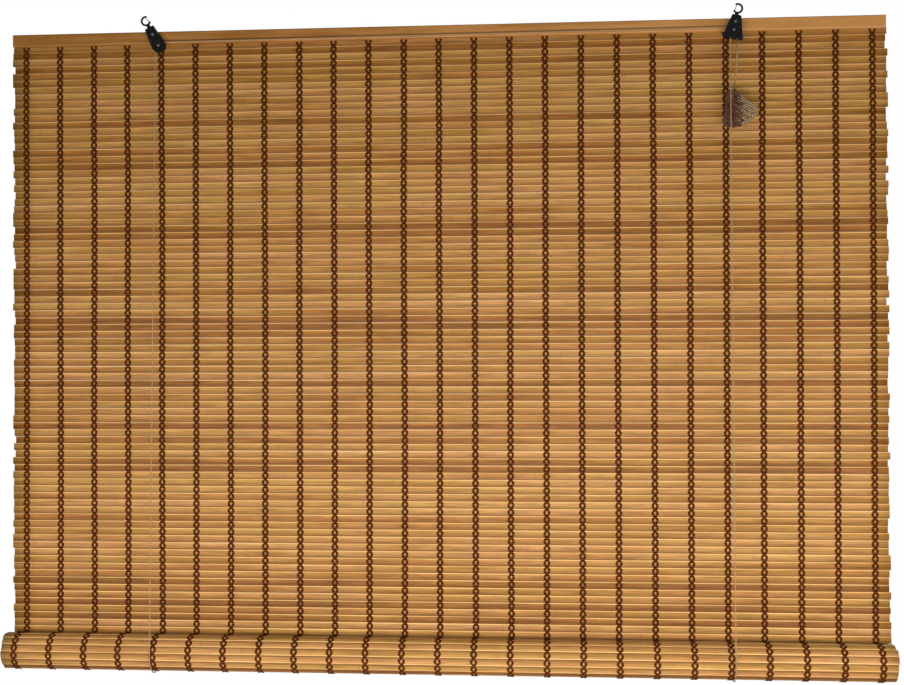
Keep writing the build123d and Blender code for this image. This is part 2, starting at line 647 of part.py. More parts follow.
# Free draw cords and the hank that they are wound into
hank_x, hank_z = HANK_APEX
hank_y = (RIGHT.cord_y(0) + RIGHT.cord_y(1)) / 2
for row, letter in ((0, "a"), (1, "b")):
    cord_y = RIGHT.cord_y(row)
    end_y = hank_y + (cord_y - hank_y) * 0.6
    route = [
        (DRAW_X, cord_y, LOCK_EXIT_Z),
        (DRAW_X - 0.3, cord_y, LOCK_EXIT_Z - 33.0),
        (hank_x + 2.0, end_y, hank_z),
    ]
    drop = (Vector(route[1]) - Vector(route[0])).length
    turn = (Vector(route[1]) - Vector(route[0])).get_angle(Vector(route[2]) - Vector(route[1]))
    bend_radius = 0.45 * drop / math.tan(math.radians(turn / 2))
    print(f"draw cord {letter}: bend radius {bend_radius:.0f} mm")
    with BuildPart() as draw_cord:
        with BuildLine() as path:
            FilletPolyline(*route, radius=bend_radius)
        with BuildSketch(Plane(origin=path.line @ 0, z_dir=path.line % 0)):
            Circle(CORD_RADIUS)
        sweep()
    draw_cord.part.label = f"draw_cord_{letter}"
    export_step(draw_cord.part, f"parts/draw_cord_{letter}.step")

with BuildPart() as cord_hank:
    with BuildSketch(front_plane(hank_y + HANK_THICKNESS / 2)):
        with BuildLine():
            left_shoulder = (hank_x - 6.0, hank_z - 5.0)
            right_shoulder = (hank_x + 6.0, hank_z - 3.0)
            left_foot = (hank_x - 15.0, hank_z - 45.0)
            right_foot = (hank_x + 37.0, hank_z - 33.0)
            ThreePointArc(left_shoulder, (hank_x, hank_z), right_shoulder)
            Line(right_shoulder, right_foot)
            ThreePointArc(right_foot, (hank_x + 16.0, hank_z - 52.0), left_foot)
            Line(left_foot, left_shoulder)
        make_face()
    extrude(amount=HANK_THICKNESS)
cord_hank.part.label = "cord_hank"
export_step(cord_hank.part, "parts/cord_hank.step")
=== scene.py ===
"""Looks of the bamboo roller blind: slats, bindings, cords, pulleys, finishes, light and camera.

Points are worked out in millimetres in the frame of the blind, X right, Y away from the room and
Z up from the rail's top edge, and are turned into metres when a mesh is made.
"""

import json
import logging
import math
from dataclasses import dataclass
from enum import Enum

import bpy
import numpy as np
from mathutils import Matrix, Vector


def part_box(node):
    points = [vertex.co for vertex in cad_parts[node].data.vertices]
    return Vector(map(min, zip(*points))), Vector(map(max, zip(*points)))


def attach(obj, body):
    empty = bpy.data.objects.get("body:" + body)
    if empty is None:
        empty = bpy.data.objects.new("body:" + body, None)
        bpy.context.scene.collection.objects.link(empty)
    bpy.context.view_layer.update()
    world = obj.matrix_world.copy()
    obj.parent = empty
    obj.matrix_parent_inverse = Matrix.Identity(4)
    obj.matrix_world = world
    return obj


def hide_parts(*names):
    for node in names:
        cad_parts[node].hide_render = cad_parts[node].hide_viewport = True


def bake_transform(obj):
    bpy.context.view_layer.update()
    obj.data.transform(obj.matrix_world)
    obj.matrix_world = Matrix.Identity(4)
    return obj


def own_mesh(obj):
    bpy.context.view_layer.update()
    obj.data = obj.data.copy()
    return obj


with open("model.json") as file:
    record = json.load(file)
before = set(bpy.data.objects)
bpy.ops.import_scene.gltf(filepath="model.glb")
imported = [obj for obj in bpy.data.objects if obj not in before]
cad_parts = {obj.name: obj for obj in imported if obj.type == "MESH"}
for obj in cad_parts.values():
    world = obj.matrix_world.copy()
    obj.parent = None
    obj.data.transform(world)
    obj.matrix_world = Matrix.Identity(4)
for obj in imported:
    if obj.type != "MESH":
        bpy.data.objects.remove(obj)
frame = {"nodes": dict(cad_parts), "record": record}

logging.basicConfig(level=logging.INFO, format="%(message)s")
LOG = logging.getLogger("blind")

MM = 0.001
SEED = 7
BINDING_SEED = SEED + 100

# Wood grain: how far it moves from slat to slat, and how much finer its broad marks are across
SHIFT_ALONG = 9.0
SHIFT_ACROSS = 5.0
BROAD_STRETCH = 20.0

# Fineness of a cord's fuzz, and how far roughness varies over a finish
CORD_FUZZ = 900.0
UNEVEN_GLOSS = 0.2

# Sizes of the blind that the looks repeat, in millimetres
SLAT_LENGTH = 1202.0
SLAT_WIDTH = 9.0
SLAT_THICKNESS = 1.6
SLAT_PITCH = 9.8
HALF_GAP = (SLAT_PITCH - SLAT_WIDTH) / 2
HANGING_SLATS = 87
ROLLED_SLATS = 56
MAT_TOP = -4.0
MAT_FRONT = 0.5
MAT_MIDDLE = MAT_FRONT + SLAT_THICKNESS / 2
ROLL_RADIUS = 24.7
TURN_SPACING = 2.6
ROLL_Y = MAT_MIDDLE - ROLL_RADIUS
ROLL_Z = MAT_TOP - HANGING_SLATS * SLAT_PITCH
BINDING_COLUMNS = 25
BINDING_SPACING = 48.5
CORD_RADIUS = 0.7
CORD_SIDES = 8
KNOT_SCALE = 0.42
KNOT_CORD_RADIUS = 0.62
KNOT_POINTS = 49
BOW_POINTS = 17
CORD_TURN_RADIUS = 4.7

# The top slats keep their place when the roll is raised, and the others gather behind the roll
KEPT_SLATS = 17

# Directions that the wide way of a swept section follows; the second is a little off the Y axis
ALONG_RAIL = np.array([1.0, 0.0, 0.0])
TO_THE_BACK = np.array([0.02, 1.0, 0.03])


class Body(Enum):
    """Bodies that pieces ride on."""

    RAIL = "rail"
    LIFT = "lift"
    ROLL = "roll"
    LEFT_PULLEY = "left_pulley"
    RIGHT_PULLEY = "right_pulley"


def rolled_place(length: np.ndarray) -> tuple[np.ndarray, np.ndarray]:
    """Angle and radius of the rolled mat's middle line.

    The radius falls by one turn spacing each turn, so the squared radius falls in step with length.

    Args:
        length: Lengths past the crease, in millimetres.

    Returns:
        Angles in radians, falling from 0, and radii in millimetres.
    """
    radius = np.sqrt(ROLL_RADIUS**2 - TURN_SPACING * length / math.pi)
    return -(ROLL_RADIUS - radius) * 2 * math.pi / TURN_SPACING, radius


def mat_frame(length: np.ndarray) -> tuple[np.ndarray, np.ndarray, np.ndarray]:
    """Middle line of the mat, from its top edge, down to the crease and round the roll.

    Above the crease it is the upright line y = MAT_MIDDLE; past it, the spiral of rolled_place.

    Args:
        length: Lengths from the mat's top edge, in millimetres.

    Returns:
        Points (n, 2), the directions along the mat (n, 2) and towards its back (n, 2), as (y, z).
    """
    past = np.maximum(length - HANGING_SLATS * SLAT_PITCH, 0.0)
    angle, radius = rolled_place(past)
    back = np.stack([np.cos(angle), np.sin(angle)], axis=-1)
    along = np.stack([np.sin(angle), -np.cos(angle)], axis=-1)
    rolled = np.array([ROLL_Y, ROLL_Z]) + radius[..., None] * back
    straight = np.stack([np.full_like(length, MAT_MIDDLE), MAT_TOP - length], axis=-1)
    hanging = (length < HANGING_SLATS * SLAT_PITCH)[..., None]
    return np.where(hanging, straight, rolled), along, back


def bar_faces(rings: int, sides: int, count: int, flip: bool = False) -> tuple[np.ndarray, list]:
    """Faces of bars whose vertices follow one another, ring after ring.

    Args:
        rings: Number of rings of vertices in a bar.
        sides: Number of vertices in a ring.
        count: Number of bars.
        flip: Whether the faces go round the other way.

    Returns:
        Quads between the rings, (faces, 4), and the two end faces of each bar.
    """
    ring = np.arange(rings - 1)[:, None] * sides
    corner = np.arange(sides)[None, :]
    after = (corner + 1) % sides
    quads = np.stack([ring + corner, ring + after, ring + sides + after, ring + sides + corner], axis=-1)
    size = rings * sides
    starts = np.arange(count) * size
    quads = (quads.reshape(1, -1, 4) + starts[:, None, None]).reshape(-1, 4)
    caps = []
    for start in starts.tolist():
        caps.append(list(range(start + sides - 1, start - 1, -1)))
        caps.append(list(range(start + size - sides, start + size)))
    if flip:
        quads = quads[:, ::-1]
        caps = [cap[::-1] for cap in caps]
    return quads, caps


def make_piece(
    name: str, points: np.ndarray, quads: np.ndarray, caps: list, smooth: bool = True
) -> bpy.types.Object:
    """Puts a worked-out surface into a mesh object.

    Args:
        name: Name of the piece.
        points: Vertices in millimetres, (n, 3).
        quads: Four-sided faces.
        caps: End faces with any number of corners.
        smooth: Whether faces are shaded smooth.

    Returns:
        The new object, linked into the scene.
    """
    mesh = bpy.data.meshes.new(name)
    mesh.from_pydata((points * MM).tolist(), [], quads.tolist() + caps)
    mesh.polygons.foreach_set("use_smooth", np.full(len(mesh.polygons), smooth))
    mesh.update()
    piece = bpy.data.objects.new(name, mesh)
    bpy.context.scene.collection.objects.link(piece)
    return piece


def add_vectors(piece: bpy.types.Object, name: str, values: np.ndarray) -> None:
    """Stores one vector for each vertex, for the piece's material to read.

    Args:
        piece: The piece.
        name: Name of the attribute.
        values: Vectors, (n, 3).
    """
    layer = piece.data.attributes.new(name, "FLOAT_VECTOR", "POINT")
    layer.data.foreach_set("vector", values.astype(np.float32).ravel())


def tubes(
    name: str, paths: np.ndarray, across: np.ndarray, wide: float, thick: float, sides: int
) -> bpy.types.Object:
    """Sweeps an oval section along many paths at once.

    A vertex is path point + wide cos(t) side + thick sin(t) lift, where side lies square to the
    path and nearest to the direction across, and lift is square to both.

    Args:
        name: Name of the piece.
        paths: Points in millimetres, (paths, points, 3).
        across: Direction that the wide way of the section follows, broadcast to the paths.
        wide: Half the section's width.
        thick: Half the section's thickness.
        sides: Vertices round the section.

    Returns:
        The piece, with the attribute "cord" that holds turn, length in millimetres and path number.
    """
    count, steps, _ = paths.shape
    tangent = np.gradient(paths, axis=1)
    tangent /= np.linalg.norm(tangent, axis=-1, keepdims=True)
    side = np.broadcast_to(across, paths.shape)
    side = side - tangent * (side * tangent).sum(-1, keepdims=True)
    side /= np.linalg.norm(side, axis=-1, keepdims=True)
    lift = np.cross(tangent, side)
    turn = np.arange(sides) * 2 * math.pi / sides
    flat = wide * np.cos(turn)[:, None] * side[:, :, None, :]
    points = paths[:, :, None, :] + (flat + thick * np.sin(turn)[:, None] * lift[:, :, None, :])
    step = np.linalg.norm(np.diff(paths, axis=1), axis=-1)
    length = np.concatenate([np.zeros((count, 1)), np.cumsum(step, axis=1)], axis=1)
    number = np.arange(count)[:, None, None] * 1.0
    facts = np.broadcast_arrays((turn / (2 * math.pi))[None, None, :], length[:, :, None], number)
    quads, caps = bar_faces(steps, sides, count)
    piece = make_piece(name, points.reshape(-1, 3), quads, caps)
    add_vectors(piece, "cord", np.stack(facts, axis=-1).reshape(-1, 3))
    return piece


def round_cord(name: str, line: np.ndarray, across: np.ndarray) -> bpy.types.Object:
    """Sweeps one round lift or draw cord along a line of points in millimetres."""
    return tubes(name, line[None], across, CORD_RADIUS, CORD_RADIUS, CORD_SIDES)


def between(start: np.ndarray, end: np.ndarray, count: int) -> np.ndarray:
    """Evenly spaced points of a straight line, (count, 3)."""
    share = np.linspace(0, 1, count)[:, None]
    return start * (1 - share) + end * share


def spline_points(route: np.ndarray, detail: int) -> np.ndarray:
    """Points of the smooth line that a route's points control.

    Args:
        route: Control points in millimetres, (n, 3).
        detail: Points worked out for each control point.

    Returns:
        Points in millimetres along a quadratic NURBS spline that starts and ends on the route's ends.
    """
    curve = bpy.data.curves.new("route", "CURVE")
    curve.dimensions = "3D"
    spline = curve.splines.new("NURBS")
    spline.points.add(len(route) - 1)
    spline.points.foreach_set("co", np.column_stack([route * MM, np.ones(len(route))]).ravel())
    spline.order_u = 3
    spline.use_endpoint_u = True
    spline.resolution_u = detail
    holder = bpy.data.objects.new("route", curve)
    line = bpy.data.meshes.new_from_object(holder)
    found = np.empty(len(line.vertices) * 3)
    line.vertices.foreach_get("co", found)
    bpy.data.objects.remove(holder)
    bpy.data.meshes.remove(line)
    bpy.data.curves.remove(curve)
    return found.reshape(-1, 3) / MM


@dataclass
class Bench:
    """A material's node tree with short ways to add nodes and wires."""

    tree: bpy.types.NodeTree

    def node(self, kind: str, **settings: object) -> bpy.types.Node:
        """Adds a node and sets its properties.

        Args:
            kind: Node type, without its ShaderNode prefix.
            settings: Property values.

        Returns:
            The node.
        """
        made = self.tree.nodes.new("ShaderNode" + kind)
        for key, value in settings.items():
            setattr(made, key, value)
        return made

    def feed(self, target: bpy.types.NodeSocket, value: object) -> None:
        """Wires a socket into the target, or sets the target's plain value."""
        if isinstance(value, bpy.types.NodeSocket):
            self.tree.links.new(value, target)
        else:
            target.default_value = value

    def math(
        self, operation: str, first: object, second: object = 0.0, clamp: bool = False
    ) -> bpy.types.NodeSocket:
        """Result of a Math node on two values or sockets."""
        made = self.node("Math", operation=operation, use_clamp=clamp)
        self.feed(made.inputs[0], first)
        self.feed(made.inputs[1], second)
        return made.outputs[0]

    def add(self, first: object, second: object, clamp: bool = False) -> bpy.types.NodeSocket:
        """Sum of two values or sockets."""
        return self.math("ADD", first, second, clamp)

    def minus(self, first: object, second: object) -> bpy.types.NodeSocket:
        """Difference of two values or sockets."""
        return self.math("SUBTRACT", first, second)

    def times(self, first: object, second: object, clamp: bool = False) -> bpy.types.NodeSocket:
        """Product of two values or sockets."""
        return self.math("MULTIPLY", first, second, clamp)

    def line(self, value: object, slope: float, start: float) -> bpy.types.NodeSocket:
        """Value times slope plus start."""
        return self.add(self.times(value, slope), start)

    def ramp(self, value: object, low: float, high: float) -> bpy.types.NodeSocket:
        """Smooth step of a value from 0 at low to 1 at high."""
        made = self.node("MapRange", interpolation_type="SMOOTHSTEP")
        self.feed(made.inputs["Value"], value)
        made.inputs["From Min"].default_value = low
        made.inputs["From Max"].default_value = high
        return made.outputs["Result"]

    def mix(self, share: object, first: object, second: object, blend: str = "MIX") -> bpy.types.NodeSocket:
        """Colour between two colours, by a share."""
        made = self.node("Mix", data_type="RGBA", blend_type=blend, clamp_factor=True)
        self.feed(made.inputs[0], share)
        self.feed(made.inputs[6], first)
        self.feed(made.inputs[7], second)
        return made.outputs[2]

    def shade(self, colour: object, value: object) -> bpy.types.NodeSocket:
        """Colour darkened or brightened by one value."""
        return self.mix(1.0, colour, self.vector(value, value, value), "MULTIPLY")

    def noise(self, vector: bpy.types.NodeSocket, scale: float, detail: float) -> bpy.types.NodeSocket:
        """Value of a noise texture."""
        made = self.node("TexNoise")
        self.feed(made.inputs["Vector"], vector)
        made.inputs["Scale"].default_value = scale
        made.inputs["Detail"].default_value = detail
        return made.outputs["Fac"]

    def vector(self, x: object, y: object, z: object) -> bpy.types.NodeSocket:
        """Vector of three values or sockets."""
        made = self.node("CombineXYZ")
        for socket, value in zip(made.inputs, (x, y, z)):
            self.feed(socket, value)
        return made.outputs[0]

    def parts(self, vector: bpy.types.NodeSocket) -> list:
        """The three values of a vector."""
        made = self.node("SeparateXYZ")
        self.feed(made.inputs[0], vector)
        return list(made.outputs)

    def palette(self, value: object, stops: list) -> bpy.types.NodeSocket:
        """Colour along a ramp of (place, colour) stops."""
        made = self.node("ValToRGB")
        ramp = made.color_ramp
        while len(ramp.elements) < len(stops):
            ramp.elements.new(0.5)
        for element, (place, colour) in zip(ramp.elements, stops):
            element.position = place
            element.color = (*colour, 1.0)
        self.feed(made.inputs[0], value)
        return made.outputs["Color"]

    def place(self) -> bpy.types.NodeSocket:
        """Place in the piece's own frame, in metres."""
        return self.node("TexCoord").outputs["Object"]

    def bump(self, height: bpy.types.NodeSocket, strength: float, distance: float) -> bpy.types.NodeSocket:
        """Normal of a bump from a height, with its distance in metres."""
        made = self.node("Bump")
        made.inputs["Strength"].default_value = strength
        made.inputs["Distance"].default_value = distance
        self.feed(made.inputs["Height"], height)
        return made.outputs[0]


def new_material(name: str) -> tuple[bpy.types.Material, Bench, bpy.types.Node]:
    """Starts a material.

    Args:
        name: Name of the finish.

    Returns:
        The material, its bench and its Principled shader node.
    """
    material = bpy.data.materials.new(name)
    material.use_nodes = True
    bench = Bench(material.node_tree)
    return material, bench, material.node_tree.nodes["Principled BSDF"]


def grain_group() -> bpy.types.NodeTree:
    """Shader group of wood grain that runs along X.

    Returns:
        A group with inputs Vector, Shift and Stretch, and with outputs that are, from the broadest
        marks to the finest, Clouds, Patches, Streaks, Fibres and Pores.
    """
    found = bpy.data.node_groups.get("wood_grain")
    if found:
        return found
    group = bpy.data.node_groups.new("wood_grain", "ShaderNodeTree")
    for name, kind in (("Vector", "Vector"), ("Shift", "Float"), ("Stretch", "Float")):
        group.interface.new_socket(name, in_out="INPUT", socket_type=f"NodeSocket{kind}")
    for name in ("Patches", "Clouds", "Streaks", "Fibres", "Pores"):
        group.interface.new_socket(name, in_out="OUTPUT", socket_type="NodeSocketFloat")
    bench = Bench(group)
    inside = group.nodes.new("NodeGroupInput")
    outside = group.nodes.new("NodeGroupOutput")
    x, y, z = bench.parts(inside.outputs["Vector"])
    shift = inside.outputs["Shift"]
    stretch = inside.outputs["Stretch"]
    along = bench.add(x, bench.times(shift, SHIFT_ALONG))
    depth = bench.times(shift, SHIFT_ACROSS)
    broad_z = bench.add(bench.times(z, BROAD_STRETCH), depth)
    broad = bench.vector(along, bench.times(y, BROAD_STRETCH), broad_z)
    fine = bench.vector(along, bench.times(y, stretch), bench.add(bench.times(z, stretch), depth))
    layers = {
        "Patches": (broad, 5.0, 3.0),
        "Clouds": (broad, 2.3, 2.0),
        "Streaks": (broad, 26.0, 3.0),
        "Fibres": (fine, 14.0, 4.0),
        "Pores": (fine, 45.0, 2.0),
    }
    for name, (vector, scale, detail) in layers.items():
        bench.feed(outside.inputs[name], bench.noise(vector, scale, detail))
    return group


def grain(bench: Bench, vector: object, shift: object, stretch: float) -> bpy.types.Node:
    """Places the wood grain group in a material.

    Args:
        bench: The material's bench.
        vector: Coordinates in metres.
        shift: A number that differs from slat to slat.
        stretch: How much finer the grain is across than along.

    Returns:
        The group's node.
    """
    made = bench.tree.nodes.new("ShaderNodeGroup")
    made.node_tree = grain_group()
    bench.feed(made.inputs["Vector"], vector)
    bench.feed(made.inputs["Shift"], shift)
    bench.feed(made.inputs["Stretch"], stretch)
    return made


@dataclass(frozen=True)
class BambooFinish:
    """Varnished bamboo strips, each of its own tone, with a painted highlight along the upper edge, and
    painted shade that darkens the face towards the lower edge and in a band along it.

    Fields that end in light are a slope and a start, and those that end in range a low and a high end.
    """

    name: str
    dark: tuple = (0.235, 0.086, 0.012)
    red: tuple = (0.290, 0.108, 0.016)
    brown: tuple = (0.330, 0.136, 0.021)
    tan: tuple = (0.395, 0.182, 0.038)
    light: tuple = (0.480, 0.240, 0.070)
    stops: tuple = (0.0, 0.14, 0.30, 0.55, 1.0)
    # Colour of the painted highlight along each slat's upper edge
    edge: tuple = (0.860, 0.540, 0.210)
    olive: tuple = (0.965, 1.020, 0.880)
    pink: tuple = (1.030, 0.985, 1.120)
    roughness: float = 0.55
    specular: float = 0.22
    stretch: float = 42.0
    half_width: float = 0.0045
    patch_reach: float = 1.5
    fibre_light: tuple = (0.9, 0.55)
    streak_light: tuple = (1.1, 0.45)
    # Painted shade that darkens each slat's face towards its lower edge
    painted_lower_shade_depth: float = 0.46
    painted_lower_shade_full: float = 1.16
    painted_lower_shade_range: tuple = (-0.8, 0.9)
    cloud_range: tuple = (0.36, 0.64)
    # Patchiness and place across the slat of the painted highlight along its upper edge
    painted_highlight_patch_light: tuple = (1.3, 0.12)
    painted_highlight_range: tuple = (0.66, 0.84)
    # Place across the slat of the painted shade band along its lower edge
    painted_foot_shade_range: tuple = (0.52, 0.94)
    nodes_a_metre: float = 2.9
    node_shift: float = 7.0
    node_reach: float = 0.008
    node_depth: float = 0.22
    # Strength of the painted shade band along each slat's lower edge
    painted_foot_shade_depth: float = 0.75

    def strip(
        self, bench: Bench, wood: bpy.types.Node, tone: bpy.types.NodeSocket, across: bpy.types.NodeSocket
    ) -> bpy.types.NodeSocket:
        """Colour of a strip's face.

        Args:
            bench: The material's bench.
            wood: The wood grain.
            tone: The slat's tone, 0 for dark and 1 for light.
            across: Place across the slat, -1 to 1.

        Returns:
            The tone with patches, darker fibres and streaks, painted shade that darkens the face towards
            its lower edge, and an olive or pink cast.
        """
        swing = bench.times(bench.minus(wood.outputs["Patches"], 0.5), self.patch_reach)
        colours = (self.dark, self.red, self.brown, self.tan, self.light)
        stops = list(zip(self.stops, colours))
        colour = bench.palette(bench.add(tone, swing, clamp=True), stops)
        fibre = bench.line(wood.outputs["Fibres"], *self.fibre_light)
        # Painted shade: the face darkens gradually towards the slat's lower edge
        low = bench.ramp(bench.times(across, -1.0), *self.painted_lower_shade_range)
        painted_lower_shade = bench.minus(self.painted_lower_shade_full, bench.times(low, self.painted_lower_shade_depth))
        streak = bench.line(wood.outputs["Streaks"], *self.streak_light)
        colour = bench.shade(colour, bench.times(bench.times(fibre, painted_lower_shade), streak))
        cloud = bench.ramp(wood.outputs["Clouds"], *self.cloud_range)
        cast = bench.mix(cloud, (*self.olive, 1.0), (*self.pink, 1.0))
        return bench.mix(1.0, colour, cast, "MULTIPLY")

    def material(self) -> bpy.types.Material:
        """Builds the finish.

        Returns:
            A material that reads the "slat" attribute: tone, shift and place across the slat.
        """
        material, bench, shader = new_material(self.name)
        slat = bench.node("Attribute", attribute_name="slat").outputs["Vector"]
        tone, shift, across = bench.parts(slat)
        x = bench.parts(bench.place())[0]
        strip_place = bench.vector(x, 0.0, bench.times(across, self.half_width))
        wood = grain(bench, strip_place, shift, self.stretch)
        colour = self.strip(bench, wood, tone, across)
        node_place = bench.add(bench.times(x, self.nodes_a_metre), bench.times(shift, self.node_shift))
        node_gap = bench.math("ABSOLUTE", bench.minus(bench.math("FRACT", node_place), 0.5))
        node = bench.minus(1.0, bench.ramp(node_gap, 0.0, self.node_reach))
        colour = bench.mix(bench.times(node, self.node_depth), colour, (*self.dark, 1.0))
        # Painted highlight: a pale band along the slat's upper edge, standing in for light that falls on it
        patchy = bench.line(wood.outputs["Patches"], *self.painted_highlight_patch_light)
        painted_highlight = bench.times(bench.ramp(across, *self.painted_highlight_range), patchy, clamp=True)
        colour = bench.mix(painted_highlight, colour, (*self.edge, 1.0))
        # Painted shade: a dark band along the slat's lower edge, where shade falls
        painted_foot_shade = bench.ramp(bench.times(across, -1.0), *self.painted_foot_shade_range)
        colour = bench.mix(bench.times(painted_foot_shade, self.painted_foot_shade_depth), colour, (*self.dark, 1.0))
        bench.feed(shader.inputs["Base Color"], colour)
        shader.inputs["Specular IOR Level"].default_value = self.specular
        rough = bench.line(wood.outputs["Pores"], UNEVEN_GLOSS, self.roughness - UNEVEN_GLOSS / 2)
        bench.feed(shader.inputs["Roughness"], rough)
        height = bench.add(wood.outputs["Fibres"], bench.times(node, 0.8))
        bench.feed(shader.inputs["Normal"], bench.bump(height, 0.5, 0.0003))
        return material


@dataclass(frozen=True)
class LathFinish:
    """Smooth planed wood of the head rail or the bottom batten."""

    name: str
    pale: tuple
    deep: tuple
    # Painted light: how much paler the wood gets for each metre towards +X
    paling: float = 0.0
    shift: float = 0.37
    stretch: float = 9.0
    roughness: float = 0.3

    def material(self) -> bpy.types.Material:
        """Builds the finish.

        Returns:
            A material with long grain along X, paler towards +X by paling for each metre, as painted light.
        """
        material, bench, shader = new_material(self.name)
        place = bench.place()
        wood = grain(bench, place, self.shift, self.stretch)
        fibre, patch = bench.times(wood.outputs["Fibres"], 0.7), bench.times(wood.outputs["Patches"], 0.6)
        # Painted light: the share, and so the paleness, rises towards +X
        share = bench.add(bench.add(fibre, patch), bench.times(bench.parts(place)[0], self.paling))
        colour = bench.mix(bench.ramp(share, 0.35, 0.95), (*self.deep, 1.0), (*self.pale, 1.0))
        bench.feed(shader.inputs["Base Color"], colour)
        rough = bench.line(wood.outputs["Pores"], UNEVEN_GLOSS, self.roughness)
        bench.feed(shader.inputs["Roughness"], rough)
        bench.feed(shader.inputs["Normal"], bench.bump(wood.outputs["Fibres"], 0.4, 0.0002))
        return material


@dataclass(frozen=True)
class CordFinish:
    """Twisted cord of two yarns, with painted shade in the grooves between the yarns."""

    name: str
    first: tuple
    second: tuple
    pitch: float
    roughness: float = 0.8
    specular: float = 0.15

    def material(self) -> bpy.types.Material:
        """Builds the finish.

        The yarns follow a helix: they show where turn + length / pitch passes whole halves.

        Returns:
            A material that reads the "cord" attribute of a tube.
        """
        material, bench, shader = new_material(self.name)
        cord = bench.node("Attribute", attribute_name="cord").outputs["Vector"]
        turn, length = bench.parts(cord)[:2]
        twist = bench.add(turn, bench.math("DIVIDE", length, self.pitch))
        ridge = bench.math("SINE", bench.times(bench.math("FRACT", bench.times(twist, 2.0)), math.pi))
        yarn = bench.ramp(bench.math("FRACT", twist), 0.47, 0.53)
        fuzz = bench.noise(bench.place(), CORD_FUZZ, 2.0)
        colour = bench.mix(yarn, (*self.first, 1.0), (*self.second, 1.0))
        # Painted shade: the colour darkens in the grooves between the yarns, where ridge falls to 0; fuzz
        # adds a fine fibre texture
        light = bench.add(bench.times(ridge, 0.45), bench.times(fuzz, 0.5))
        colour = bench.shade(colour, bench.add(light, 0.45))
        bench.feed(shader.inputs["Base Color"], colour)
        shader.inputs["Roughness"].default_value = self.roughness
        shader.inputs["Specular IOR Level"].default_value = self.specular
        bench.feed(shader.inputs["Normal"], bench.bump(bench.add(ridge, fuzz), 0.6, 0.0002))
        return material


@dataclass(frozen=True)
class DrawCordFinish:
    """Draw cord of dark and pale yarns, pale where it hangs straight."""

    name: str
    lead: tuple = (0.44, 0.27, 0.13)
    deep: tuple = (0.045, 0.016, 0.010)
    brown: tuple = (0.200, 0.100, 0.068)
    pale: tuple = (0.540, 0.410, 0.210)
    pitch: float = 3.2
    lead_length: float = 74.0
    lead_fade: float = 26.0
    pale_from: float = 0.402
    pale_rise: float = 22.0
    fleck_rate: float = 0.16
    roughness: float = 0.85
    specular: float = 0.1

    def material(self) -> bpy.types.Material:
        """Builds the finish.

        Returns:
            A material that reads the "cord" attribute of a tube, pale again on the hank's right side.
        """
        material, bench, shader = new_material(self.name)
        cord = bench.node("Attribute", attribute_name="cord").outputs["Vector"]
        turn, length = bench.parts(cord)[:2]
        twist = bench.math("FRACT", bench.add(turn, bench.math("DIVIDE", length, self.pitch)))
        ridge = bench.math("SINE", bench.times(twist, 2 * math.pi))
        place = bench.place()
        fuzz = bench.noise(place, CORD_FUZZ, 2.0)
        fleck = bench.noise(bench.vector(bench.times(length, self.fleck_rate), 0.0, 0.0), 1.0, 2.0)
        far = bench.times(bench.minus(bench.parts(place)[0], self.pale_from), self.pale_rise)
        bright = bench.ramp(bench.add(fleck, far), 0.50, 0.74)
        yarn = bench.mix(bench.ramp(ridge, -0.3, 0.3), (*self.deep, 1.0), (*self.brown, 1.0))
        colour = bench.mix(bench.times(bright, bench.ramp(ridge, -0.9, 0.4)), yarn, (*self.pale, 1.0))
        hung = bench.minus(1.0, bench.ramp(length, self.lead_length - self.lead_fade, self.lead_length))
        colour = bench.mix(hung, colour, (*self.lead, 1.0))
        colour = bench.shade(colour, bench.line(fuzz, 0.7, 0.6))
        bench.feed(shader.inputs["Base Color"], colour)
        shader.inputs["Roughness"].default_value = self.roughness
        shader.inputs["Specular IOR Level"].default_value = self.specular
        bench.feed(shader.inputs["Normal"], bench.bump(bench.add(ridge, fuzz), 0.6, 0.0002))
        return material


@dataclass(frozen=True)
class EnamelFinish:
    """Glossy black enamel or moulded plastic, worn a little lighter in places."""

    name: str
    colour: tuple
    worn: tuple
    roughness: float
    coat: float = 0.0
    specular: float = 0.3

    def material(self) -> bpy.types.Material:
        """Builds the finish, with faint handling marks in colour and roughness."""
        material, bench, shader = new_material(self.name)
        place = bench.place()
        marks = bench.ramp(bench.noise(place, 320.0, 4.0), 0.52, 0.72)
        bench.feed(shader.inputs["Base Color"], bench.mix(marks, (*self.colour, 1.0), (*self.worn, 1.0)))
        bench.feed(shader.inputs["Roughness"], bench.line(marks, UNEVEN_GLOSS, self.roughness))
        shader.inputs["Specular IOR Level"].default_value = self.specular
        shader.inputs["Coat Weight"].default_value = self.coat
        bench.feed(shader.inputs["Normal"], bench.bump(bench.noise(place, 700.0, 2.0), 0.15, 0.0001))
        return material


@dataclass(frozen=True)
class SteelFinish:
    """Bright or plain steel of the rivets, screws and wires."""

    name: str
    colour: tuple
    roughness: float
    dulling: float = 0.75

    def material(self) -> bpy.types.Material:
        """Builds the finish, with fine uneven polish."""
        material, bench, shader = new_material(self.name)
        cloud = bench.noise(bench.place(), 900.0, 3.0)
        dull = tuple(part * self.dulling for part in self.colour)
        colour = bench.mix(bench.ramp(cloud, 0.3, 0.7), (*dull, 1.0), (*self.colour, 1.0))
        bench.feed(shader.inputs["Base Color"], colour)
        shader.inputs["Metallic"].default_value = 1.0
        rough = bench.line(cloud, UNEVEN_GLOSS, self.roughness - UNEVEN_GLOSS / 2)
        bench.feed(shader.inputs["Roughness"], rough)
        return material


